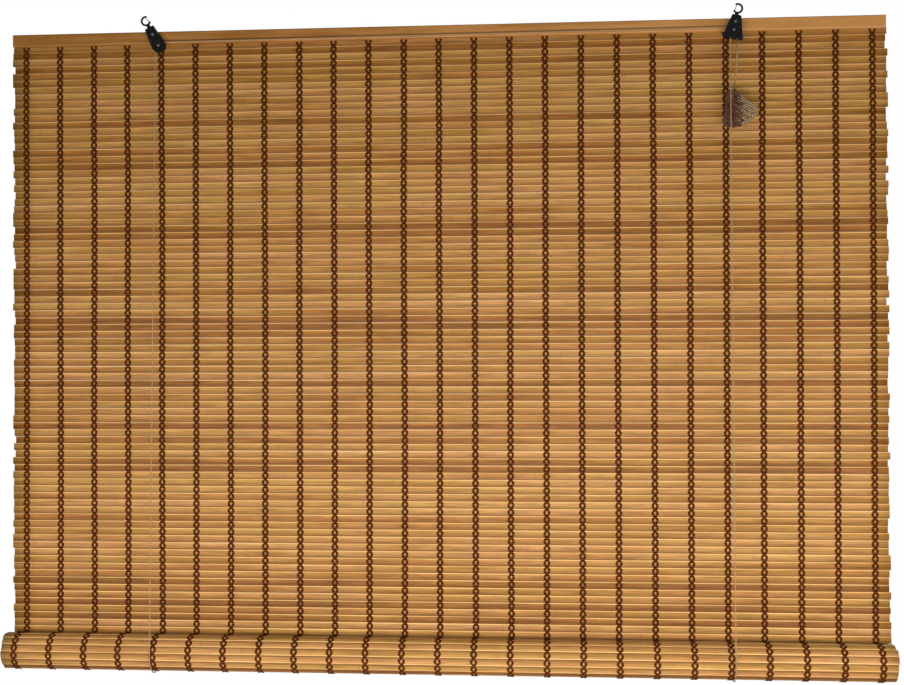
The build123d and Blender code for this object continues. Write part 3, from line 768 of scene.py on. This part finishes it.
def finish_piece(
    piece: bpy.types.Object, material: bpy.types.Material, slot: str, body: Body | None, *nodes: str
) -> None:
    """Dresses a new piece, hangs it on its body and lets it stand for CAD nodes.

    Args:
        piece: The piece, in place.
        material: Its finish.
        slot: The record's material slot; not used.
        body: The body that it rides on, or None for a piece that is hung on no body.
        nodes: CAD nodes that it stands for.
    """
    piece.data.materials.append(material)
    if body:
        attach(piece, body.value)
    if nodes:
        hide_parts(*nodes)
    rides = body.value if body else "two bodies"
    LOG.info("%s: %d faces on %s", piece.name, len(piece.data.polygons), rides)


@dataclass
class SlatMat:
    """The mat's slats, hanging and rolled, nearly as wide as their pitch, so that few gaps show."""

    finish: bpy.types.Material
    steps: int = 36
    section: int = 16
    width: float = 9.77
    crown: float = 0.25
    squareness: float = 0.35
    uneven_end: float = 3.2
    overhang: float = 1.2
    wander: float = 0.16
    wander_rates: tuple = (1.5, 5.0)
    second_wave: float = 0.6
    rise_share: float = 0.2
    tone: float = 0.62
    tone_spread: float = 0.15
    tone_range: tuple = (0.25, 0.95)
    # Painted light: how far the rolled slats' tones are lifted, for the brighter light on the roll
    rolled_painted_light: float = 0.35
    dark_tones: tuple = (0.05, 0.22)
    dark_slats: tuple = (2, 4, 12, 16, 18, 27, 28, 36, 40, 41, 49, 55, 60, 61, 77, 80, 82, 92)

    def outline(self) -> tuple[np.ndarray, np.ndarray]:
        """Section of a slat.

        It is the superellipse y = T/2 sgn(cos t)|cos t|^q, z = W/2 sgn(sin t)|sin t|^q, with its
        front face crowned by crown (1 - (2z/W)^2).

        Returns:
            Depths and heights in millimetres.
        """
        t = np.arange(self.section) * 2 * math.pi / self.section + math.pi / self.section
        depth = SLAT_THICKNESS / 2 * np.sign(np.cos(t)) * np.abs(np.cos(t)) ** self.squareness
        height = self.width / 2 * np.sign(np.sin(t)) * np.abs(np.sin(t)) ** self.squareness
        depth -= self.crown * np.where(np.cos(t) < 0, 1 - (height / (self.width / 2)) ** 2, 0.0)
        return depth, height

    def stations(self, rng: np.random.Generator, count: int, share: np.ndarray) -> np.ndarray:
        """Places along X at which sections stand.

        Args:
            rng: Random draws.
            count: Number of slats.
            share: Places from -1 at a slat's left end to 1 at its right end.

        Returns:
            X in millimetres, (slats, stations), with uneven ends.
        """
        half = SLAT_LENGTH / 2 + self.overhang - rng.uniform(0, self.uneven_end, (count, 2))
        shift = rng.uniform(-self.uneven_end / 2, self.uneven_end / 2, count)
        x = np.where(share < 0, share * half[:, :1], share * half[:, 1:]) + shift[:, None]
        return np.clip(x, -SLAT_LENGTH / 2 - self.overhang, SLAT_LENGTH / 2 + self.overhang)

    def tones(self, rng: np.random.Generator, number: np.ndarray) -> np.ndarray:
        """Tones of slats, 0 for dark and 1 for light.

        Args:
            rng: Random draws.
            number: Numbers of the slats, counted from the mat's top.

        Returns:
            Tones, lighter in the roll as painted light for the roll's brighter lighting, and dark for
            dark_slats.
        """
        count = len(number)
        tone = np.clip(rng.normal(self.tone, self.tone_spread, count), *self.tone_range)
        # Painted light: rolled slats get lighter tones
        tone = np.where(number < HANGING_SLATS, tone, self.rolled_painted_light + (1 - self.rolled_painted_light) * tone)
        return np.where(np.isin(number, self.dark_slats), rng.uniform(*self.dark_tones, count), tone)

    def slats(self, name: str, first: int, count: int) -> bpy.types.Object:
        """Builds a run of slats, each a section carried along X with slow wandering.

        Args:
            name: Name of the piece.
            first: Number of the first slat, counted from the mat's top.
            count: Number of slats.

        Returns:
            The piece, with the attribute "slat" of tone, shift and place across.
        """
        rng = np.random.default_rng(SEED + first)
        number = np.arange(first, first + count)
        middle, along, back = mat_frame((number + 0.5) * SLAT_PITCH - HALF_GAP)
        depth, height = self.outline()
        share = np.linspace(-1.0, 1.0, self.steps)
        x = self.stations(rng, count, share)
        phase = rng.uniform(0, 2 * math.pi, (count, 4, 1))
        rate = rng.uniform(*self.wander_rates, (count, 4, 1))
        waves = np.sin(share[None, None, :] * rate + phase)
        sway = self.wander * (waves[:, 0] + self.second_wave * waves[:, 1])
        rise = self.wander * self.rise_share * (waves[:, 2] + self.second_wave * waves[:, 3])
        out = depth[None, None, :] + sway[:, :, None]
        up = height[None, None, :] + rise[:, :, None]
        yz = middle[:, None, None, :] + out[..., None] * back[:, None, None, :]
        yz = yz - up[..., None] * along[:, None, None, :]
        points = np.concatenate([np.broadcast_to(x[:, :, None, None], (*out.shape, 1)), yz], axis=-1)
        tone = self.tones(rng, number)[:, None, None]
        shift = rng.random(count)[:, None, None]
        across = (height / (self.width / 2))[None, None, :]
        facts = np.broadcast_arrays(tone, shift, across, out)[:3]
        quads, caps = bar_faces(self.steps, self.section, count, flip=True)
        piece = make_piece(name, points.reshape(-1, 3), quads, caps)
        add_vectors(piece, "slat", np.stack(facts, axis=-1).reshape(-1, 3))
        return piece

    def build(self) -> None:
        """Builds the kept top slats, the slats that gather and the rolled slats."""
        kept = self.slats("slats_top", 0, KEPT_SLATS)
        finish_piece(kept, self.finish, "bamboo", Body.RAIL, "hanging_mat")
        gathering = self.slats("slats_hanging", KEPT_SLATS, HANGING_SLATS - KEPT_SLATS)
        finish_piece(gathering, self.finish, "bamboo", Body.RAIL, "hanging_mat")
        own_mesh(gathering)
        rolled = self.slats("slats_rolled", HANGING_SLATS, ROLLED_SLATS)
        finish_piece(rolled, self.finish, "bamboo", Body.ROLL, "rolled_mat")


@dataclass
class Binding:
    """Columns of two cords that cross in every gap and spread over every slat."""

    finish: bpy.types.Material
    spread: float = 3.3
    half_width: float = 1.65
    half_thickness: float = 0.5
    outer_slats: int = 15
    gap: float = 0.1
    front_crown: float = 0.22
    dip: float = 0.35
    cross_rise: float = 0.75
    wander: float = 0.5
    wander_slats: float = 9.0
    wander_phase: float = 6.0
    offset_share: float = 0.6

    def columns(
        self, name: str, first: int, count: int, side: int, steps: int, sides: int
    ) -> bpy.types.Object:
        """Builds both cords of every column over a run of slats.

        A cord's distance from its column's line is spread sin(pi s), and it lies over or under its
        partner by cos(pi s), where s counts slats.

        Args:
            name: Name of the piece.
            first: Slat at which the run starts.
            count: Number of slats.
            side: -1 on the mat's front, 1 on its back.
            steps: Points for each slat.
            sides: Vertices round a cord.

        Returns:
            The piece.
        """
        rng = np.random.default_rng(BINDING_SEED + side + first)
        s = np.linspace(first, first + count, count * steps + 1)
        middle, _, back = mat_frame(s * SLAT_PITCH - HALF_GAP)
        line = (np.arange(BINDING_COLUMNS) - (BINDING_COLUMNS - 1) / 2) * BINDING_SPACING
        wander = rng.uniform(-self.wander, self.wander, (BINDING_COLUMNS, 3))
        way = np.array([1.0, -1.0])
        swing = self.spread * np.sin(math.pi * s)[None, None, :] * way[None, :, None]
        phase = wander[:, 1:2] * self.wander_phase
        slow = wander[:, :1] * np.sin(s[None, :] / self.wander_slats + phase)
        slow = slow + wander[:, 2:] * self.offset_share
        x = line[:, None, None] + swing + slow[:, None, :]
        lay = SLAT_THICKNESS / 2 + self.half_thickness + self.gap
        crown = self.front_crown if side < 0 else 0.0
        dip = self.dip * np.abs(np.cos(math.pi * s)) ** 6
        over = self.half_thickness * self.cross_rise * np.cos(math.pi * s)[None, :] * way[:, None]
        out = side * (lay + crown - dip[None, :] + over)
        out = np.broadcast_to(out, (BINDING_COLUMNS, 2, len(s)))
        yz = middle[None, None] + out[..., None] * back[None, None]
        paths = np.concatenate([x[..., None], np.broadcast_to(yz, (*x.shape, 2))], axis=-1)
        paths = paths.reshape(-1, len(s), 3)
        return tubes(name, paths, ALONG_RAIL, self.half_width, self.half_thickness, sides)

    def build(self) -> None:
        """Builds the front and back of the kept, gathering and rolled parts."""
        for word, side, steps, sides in (("front", -1, 5, 5), ("back", 1, 4, 4)):
            node = f"binding_cords_{word}"
            kept = self.columns(f"binding_{word}_top", 0, KEPT_SLATS, side, steps, sides)
            finish_piece(kept, self.finish, "binding", Body.RAIL, node)
            rest = HANGING_SLATS - KEPT_SLATS
            gathering = self.columns(f"binding_{word}_hanging", KEPT_SLATS, rest, side, steps, sides)
            finish_piece(gathering, self.finish, "binding", Body.RAIL, node)
            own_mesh(gathering)
        outer = self.columns("binding_roll", HANGING_SLATS, self.outer_slats, 1, 6, 5)
        finish_piece(outer, self.finish, "binding", Body.ROLL, "roll_binding_cords")


def knot(
    name: str, place: tuple, finish: bpy.types.Material, slot: str, body: Body, *nodes: str
) -> bpy.types.Object:
    """Ties a small knot in a cord.

    Its line is the trefoil x = sin t + 2 sin 2t, y = -1.4 sin 3t, z = cos t - 2 cos 2t.

    Args:
        name: Name of the piece.
        place: Its middle, in millimetres.
        finish: The cord's finish.
        slot: The record's material slot.
        body: The body that it rides on.
        nodes: CAD nodes that it stands for.

    Returns:
        The knot.
    """
    t = np.linspace(0, 2 * math.pi, KNOT_POINTS)
    x, y, z = np.sin(t) + 2 * np.sin(2 * t), -1.4 * np.sin(3 * t), np.cos(t) - 2 * np.cos(2 * t)
    line = np.array(place) + KNOT_SCALE * np.stack([x, y, z], axis=-1)
    across = np.array([0.3, 1.0, 0.2])
    piece = tubes(name, line[None], across, KNOT_CORD_RADIUS, KNOT_CORD_RADIUS, CORD_SIDES)
    finish_piece(piece, finish, slot, body, *nodes)
    return piece


def sheave_middle(node: str) -> np.ndarray:
    """Middle of a sheave in millimetres."""
    low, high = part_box(node)
    return np.array((low + high) / 2) / MM


def bow(centre: np.ndarray, first: float, last: float) -> np.ndarray:
    """Points of a cord's line round a sheave, between two angles in degrees."""
    angle = np.radians(np.linspace(first, last, BOW_POINTS))
    around = np.stack([np.cos(angle), np.zeros_like(angle), np.sin(angle)], axis=-1)
    return centre + CORD_TURN_RADIUS * around


@dataclass
class LiftCord:
    """One lift cord: its run behind the mat, its sling under the roll and its run in front.

    The front run is built in two pieces, split at the height led_from.
    """

    name: str
    sheave: str
    pulley: Body
    finish: bpy.types.Material
    led_from: float = -70.0
    led_to: float = -32.0
    run_points: int = 60
    led_points: int = 40
    tie_rise: float = 1.9

    def straight(self, piece_name: str, ends: np.ndarray, node: str) -> None:
        """Builds a straight run of cord that rides on the rail.

        Args:
            piece_name: Name of the piece.
            ends: Its lower and upper end, (2, 3).
            node: The CAD node that it stands for.
        """
        piece = round_cord(piece_name, between(*ends, self.run_points), ALONG_RAIL)
        finish_piece(piece, self.finish, "lift_cord", Body.RAIL, node)
        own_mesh(piece)

    def led(self, piece_name: str, ends: np.ndarray, node: str) -> None:
        """Builds the top of the front run, up to its sheave.

        Args:
            piece_name: Name of the piece.
            ends: Its lower and upper end, (2, 3).
            node: The CAD node that it stands for.
        """
        piece = round_cord(piece_name, between(*ends, self.led_points), ALONG_RAIL)
        finish_piece(piece, self.finish, "lift_cord", None, node)
        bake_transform(piece)

    def build(self) -> None:
        """Builds the sling, the two runs, the led top and the tie of the back run."""
        sling_low, sling_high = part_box(f"{self.name}_sling")
        sling_x = (sling_low.x + sling_high.x) / 2 / MM
        radius = sling_high.y / MM - CORD_RADIUS - ROLL_Y
        top = sheave_middle(self.sheave) - np.array([CORD_TURN_RADIUS, 0, 0])
        reach = math.hypot(top[1] - ROLL_Y, top[2] - ROLL_Z)
        front = math.atan2(top[2] - ROLL_Z, top[1] - ROLL_Y) + math.acos(radius / reach)
        angle = np.linspace(0.0, front - 2 * math.pi, self.run_points)
        y, z = ROLL_Y + radius * np.cos(angle), ROLL_Z + radius * np.sin(angle)
        arc = np.stack([np.full_like(angle, sling_x), y, z], axis=-1)
        sling = round_cord(f"sling_{self.name}", arc, ALONG_RAIL)
        finish_piece(sling, self.finish, "lift_cord", Body.LIFT, f"{self.name}_sling")
        back_top = np.array([sling_x, ROLL_Y + radius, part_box(f"{self.name}_back_run")[1].z / MM])
        self.straight(f"cord_back_{self.name}", np.array([arc[0], back_top]), f"{self.name}_back_run")
        share = (self.led_from - arc[-1][2]) / (top[2] - arc[-1][2])
        split = arc[-1] * (1 - share) + top * share
        self.straight(f"cord_front_{self.name}", np.array([arc[-1], split]), f"{self.name}_front_run")
        self.led(f"cord_led_{self.name}", np.array([split, top]), f"{self.name}_front_run")
        tie = back_top + np.array([0, 0, self.tie_rise])
        knot(f"tie_{self.name}", tuple(tie), self.finish, "lift_cord", Body.RAIL, "anchor_knots")


@dataclass
class RailCords:
    """Cords over the sheaves and along the rail.
    """

    finish: bpy.types.Material
    exit_z: float = -30.0
    bend_from: float = 60.0
    bend_to: float = 8.0
    half_points: int = 200
    drop_points: int = 9

    def lay(self, name: str, line: np.ndarray, body: Body | None, node: str) -> bpy.types.Object:
        """Builds one length of cord along a line."""
        piece = round_cord(name, line, TO_THE_BACK)
        finish_piece(piece, self.finish, "lift_cord", body, node)
        return piece

    def half(self, name: str, middle: np.ndarray, end: np.ndarray, pulley: Body) -> None:
        """Builds half of the cord along the rail, from its middle to one sheave.

        Args:
            name: Name of the piece.
            middle: Its end over the rail's middle, in millimetres.
            end: Its end on the sheave, in millimetres.
            pulley: The body of the pulley; not used.
        """
        piece = self.lay(name, between(middle, end, self.half_points), None, "cross_cord")
        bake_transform(piece)

    def build(self) -> None:
        """Builds the cords over the three sheaves and the two halves along the rail."""
        left = sheave_middle("left_sheave")
        back = sheave_middle("right_back_sheave")
        front = sheave_middle("right_front_sheave")
        self.lay("cord_over_left", bow(left, 180, 90), Body.LEFT_PULLEY, "left_over_cord")
        ends = bow(left, 90, 90)[0], bow(back, 90, 90)[0]
        middle = (ends[0] + ends[1]) / 2
        self.half("cord_along_rail_left", middle, ends[0], Body.LEFT_PULLEY)
        self.half("cord_along_rail_right", middle, ends[1], Body.RIGHT_PULLEY)
        for word, centre, first in (("back", back, 90), ("front", front, 180)):
            round_part = bow(centre, first, 0)
            exit_point = [round_part[-1][0], centre[1], self.exit_z]
            drop = np.linspace(round_part[-1], exit_point, self.drop_points)
            line = np.concatenate([round_part, drop[1:]])
            self.lay(f"cord_over_right_{word}", line, Body.RIGHT_PULLEY, f"right_{word}_over_cord")


@dataclass
class DrawCord:
    """One of the two draw cords, from the lock down into its half of the hank."""

    name: str
    lead: tuple
    tail: tuple
    finish: bpy.types.Material
    planes: tuple
    tilts: tuple
    pivot: tuple = (395.5, -107.6)
    loop_reach: float = 32.0
    inner: float = 4.45
    nest: float = 1.45
    wave: float = 0.9
    wave_length: float = 16.0
    wave_step: float = 2.1
    turns_per_plane: int = 3
    step_start: float = 0.55
    step_share: float = 0.3
    knot_drop: float = 1.2
    route_detail: int = 3

    def loops(self) -> np.ndarray:
        """Route of the wound loops.

        A loop is a slot shape: down its right side, round the bottom, up its left side and round
        the top. Its half-width grows by one nest a turn in one plane and shrinks in the next, and
        the plane and the tilt step over along the last rise of a plane's last loop. Its straight
        sides sway by wave sin(2 pi fall / wave_length), the same for every loop of a plane.

        Returns:
            Control points in millimetres, as many for each loop as side has.
        """
        cap = np.radians(np.arange(0, 181, 30))
        side = np.concatenate([[1, 1], np.cos(cap), [-1, -1], np.cos(cap + math.pi)])
        bulge = np.concatenate([[0, 0], np.sin(cap), [0, 0], np.sin(cap + math.pi)])
        down = np.concatenate([[1 / 3, 2 / 3], np.ones(7), [2 / 3, 1 / 3], np.zeros(7)])
        turns = len(self.planes) * self.turns_per_plane
        share = (np.arange(len(side)) + 1) / len(side)
        number = (np.arange(turns)[:, None] + share[None, :]).ravel()
        last = len(self.planes) - 1
        plane = np.minimum((np.arange(turns) // self.turns_per_plane).repeat(len(side)), last)
        within = number - plane * self.turns_per_plane
        step = np.clip((within - self.turns_per_plane + self.step_start) / self.step_share, 0, 1)
        step = np.where(plane < last, step * step * (3 - 2 * step), 0.0)
        level = plane + step
        depth = np.interp(level, np.arange(len(self.planes)), self.planes)
        tilt = np.radians(np.interp(level, np.arange(len(self.tilts)), self.tilts))
        grown = np.where(plane % 2 == 0, within, self.turns_per_plane - within)
        width = self.inner + self.nest * grown
        across = width * np.tile(side, turns)
        fall = self.loop_reach * np.tile(down, turns) + width * np.tile(bulge, turns)
        calm = np.clip(np.sin(math.pi * np.clip(fall / self.loop_reach, 0, 1)), 0, 1)
        phase = 2 * math.pi * fall / self.wave_length + self.wave_step * level
        across = across + self.wave * calm * np.sin(phase)
        x = self.pivot[0] + across * np.cos(tilt) + fall * np.sin(tilt)
        z = self.pivot[1] + across * np.sin(tilt) - fall * np.cos(tilt)
        return np.stack([x, depth, z], axis=-1)

    def build(self) -> None:
        route = np.concatenate([np.array(self.lead), self.loops(), np.array(self.tail)])
        line = spline_points(route, self.route_detail)
        cord = round_cord(self.name, line, TO_THE_BACK)
        nodes = (self.name.replace("cord_draw", "draw_cord"), "cord_hank")
        finish_piece(cord, self.finish, "draw_cord", Body.RIGHT_PULLEY, *nodes)
        x, y, z = self.tail[-1]
        end = (x, y, z - self.knot_drop)
        tied = knot(f"{self.name}_knot", end, self.finish, "draw_cord", Body.RIGHT_PULLEY, "cord_hank")


@dataclass
class Hardware:
    """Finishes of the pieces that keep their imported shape."""

    finishes: dict

    def dress(self) -> None:
        """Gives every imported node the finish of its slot."""
        for part in frame["record"]["subparts"]:
            node = frame["nodes"][part["node"]]
            material = self.finishes[part["material_slot"]]
            if not node.data.materials:
                node.data.materials.append(material)
            for index in range(len(node.data.materials)):
                node.data.materials[index] = material
            LOG.info("%s: %s", part["node"], material.name)


@dataclass(frozen=True)
class Lamp:
    """A rectangular area lamp, in millimetres and watts, that hangs at place and faces target."""

    name: str
    place: tuple
    target: tuple
    size: tuple
    power: float

    def hang(self) -> None:
        """Puts the lamp into the scene."""
        data = bpy.data.lights.new(self.name, "AREA")
        data.shape = "RECTANGLE"
        data.size, data.size_y = (part * MM for part in self.size)
        data.energy = self.power
        lamp = bpy.data.objects.new(self.name, data)
        lamp.location = Vector(self.place) * MM
        lamp.rotation_mode = "QUATERNION"
        lamp.rotation_quaternion = (Vector(self.target) - Vector(self.place)).to_track_quat("-Z", "Y")
        bpy.context.scene.collection.objects.link(lamp)


@dataclass
class Studio:
    """Camera, floor, background and lamps."""

    position: tuple = (180.8, -1907.6, -451.2)
    yaw: float = -4.904
    pitch: float = 0.534
    roll: float = 0.195
    focal_px: float = 1400.0
    picture_width: float = 904.0
    sensor: float = 36.0
    far_end: float = 50.0
    floor_z: float = -1400.0
    floor_size: float = 3700.0
    floor_colour: tuple = (0.86, 0.86, 0.85, 1.0)
    floor_roughness: float = 0.7
    background_colour: tuple = (1.0, 1.0, 1.0, 1.0)
    ambient: float = 0.13
    lamps: tuple = (
        Lamp("key", (150.0, -1050.0, -740.0), (60.0, 0.0, -740.0), (2600.0, 400.0), 22.5),
        Lamp("top", (900.0, -900.0, 1100.0), (300.0, 0.0, -250.0), (1400.0, 900.0), 4.5),
        Lamp("back", (0.0, 1600.0, 300.0), (0.0, 0.0, -450.0), (2000.0, 1500.0), 16.0),
    )

    def camera(self) -> None:
        """Places the camera with its fitted yaw, pitch and roll."""
        yaw, pitch, roll = (math.radians(angle) for angle in (self.yaw, self.pitch, self.roll))
        level = math.cos(pitch)
        forward = Vector((math.sin(yaw) * level, math.cos(yaw) * level, math.sin(pitch)))
        right = Vector((math.cos(yaw), -math.sin(yaw), 0.0))
        down = forward.cross(right)
        side = math.cos(roll) * right + math.sin(roll) * down
        up = math.sin(roll) * right - math.cos(roll) * down
        data = bpy.data.cameras.new("camera")
        data.sensor_width = self.sensor
        data.lens = self.focal_px * self.sensor / self.picture_width
        data.clip_end = self.far_end
        camera = bpy.data.objects.new("camera", data)
        turned = Matrix((side, up, -forward)).transposed().to_4x4()
        camera.matrix_world = Matrix.Translation(Vector(self.position) * MM) @ turned
        bpy.context.scene.collection.objects.link(camera)
        bpy.context.scene.camera = camera

    def floor(self) -> None:
        """Lays a plain pale floor."""
        half = self.floor_size / 2
        flat = ((-half, -half), (half, -half), (half, half), (-half, half))
        corners = np.array([(x, y, self.floor_z) for x, y in flat])
        floor = make_piece("floor", corners, np.array([[0, 1, 2, 3]]), [], smooth=False)
        material, _, shader = new_material("pale_floor")
        shader.inputs["Base Color"].default_value = self.floor_colour
        shader.inputs["Roughness"].default_value = self.floor_roughness
        floor.data.materials.append(material)

    def world(self) -> None:
        """Makes a background that looks white and lights the blind evenly and softly."""
        world = bpy.data.worlds.new("studio")
        bpy.context.scene.world = world
        world.use_nodes = True
        tree = world.node_tree
        tree.nodes.clear()
        bench = Bench(tree)
        path = bench.node("LightPath")
        seen = bench.math("MAXIMUM", path.outputs["Is Camera Ray"], path.outputs["Is Transmission Ray"])
        strength = bench.line(seen, 1 - self.ambient, self.ambient)
        background = bench.node("Background")
        background.inputs["Color"].default_value = self.background_colour
        bench.feed(background.inputs["Strength"], strength)
        output = bench.node("OutputWorld")
        bench.feed(output.inputs["Surface"], background.outputs[0])

    def build(self) -> None:
        """Sets up the whole studio."""
        self.camera()
        self.floor()
        self.world()
        for lamp in self.lamps:
            lamp.hang()
        bpy.context.scene.view_settings.view_transform = "Standard"


def all_finishes() -> dict:
    """Every finish's material, under the name of the record's material slot."""
    kinds = (
        CordFinish("lift_cord", (0.44, 0.29, 0.15), (0.36, 0.22, 0.10), 2.4),
        DrawCordFinish("draw_cord"),
        CordFinish("binding", (0.135, 0.034, 0.006), (0.050, 0.011, 0.002), 5.0, specular=0.04),
        BambooFinish("bamboo"),
        SteelFinish("bright_steel", (0.86, 0.86, 0.84), 0.22),
        EnamelFinish("black_enamel", (0.007, 0.007, 0.008), (0.014, 0.014, 0.015), 0.24, 0.1),
        EnamelFinish("sheave_plastic", (0.035, 0.032, 0.030), (0.06, 0.055, 0.05), 0.42),
        LathFinish("rail_wood", (0.54, 0.247, 0.066), (0.307, 0.121, 0.0155), 0.38),
        LathFinish("batten_wood", (0.55, 0.33, 0.15), (0.40, 0.21, 0.08)),
        SteelFinish("staple_steel", (0.60, 0.58, 0.55), 0.35),
        EnamelFinish("cam_plastic", (0.020, 0.019, 0.019), (0.04, 0.04, 0.04), 0.38),
    )
    return {kind.name: kind.material() for kind in kinds}


def build_draw_cords(finish: bpy.types.Material) -> None:
    """Builds both draw cords, along listed points before and after their wound loops."""
    lead_a = ((402.2, -13.8, -30.0), (401.9, -13.8, -63.0), (397.5, -14.68, -99.0))
    lead_b = ((402.2, -18.2, -30.0), (401.9, -18.2, -63.0), (397.5, -17.32, -99.0))
    tail_a = (
        (408.3, -12.2, -112.0),
        (411.3, -12.2, -121.0),
        (412.8, -12.2, -131.0),
        (413.3, -12.2, -141.0),
        (413.4, -12.2, -147.5),
    )
    tail_b = (
        (407.5, -21.2, -105.5),
        (413.0, -21.2, -112.0),
        (416.3, -21.2, -121.0),
        (417.2, -21.2, -129.0),
        (417.4, -21.2, -136.0),
    )
    planes_a, tilts_a = (-15.25, -13.75, -12.25), (-8.0, 4.0, 16.0)
    planes_b, tilts_b = (-16.75, -18.25, -19.75), (28.0, 40.0, 52.0)
    DrawCord("cord_draw_a", lead_a, tail_a, finish, planes_a, tilts_a).build()
    DrawCord("cord_draw_b", lead_b, tail_b, finish, planes_b, tilts_b).build()


def main() -> None:
    """Builds the studio and every piece of the blind."""
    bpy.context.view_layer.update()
    Studio().build()
    finishes = all_finishes()
    Hardware(finishes).dress()
    build_draw_cords(finishes["draw_cord"])
    LiftCord("left", "left_sheave", Body.LEFT_PULLEY, finishes["lift_cord"]).build()
    LiftCord("right", "right_front_sheave", Body.RIGHT_PULLEY, finishes["lift_cord"]).build()
    RailCords(finishes["lift_cord"]).build()
    SlatMat(finishes["bamboo"]).build()
    Binding(finishes["binding"]).build()


if __name__ == "__main__":
    main()
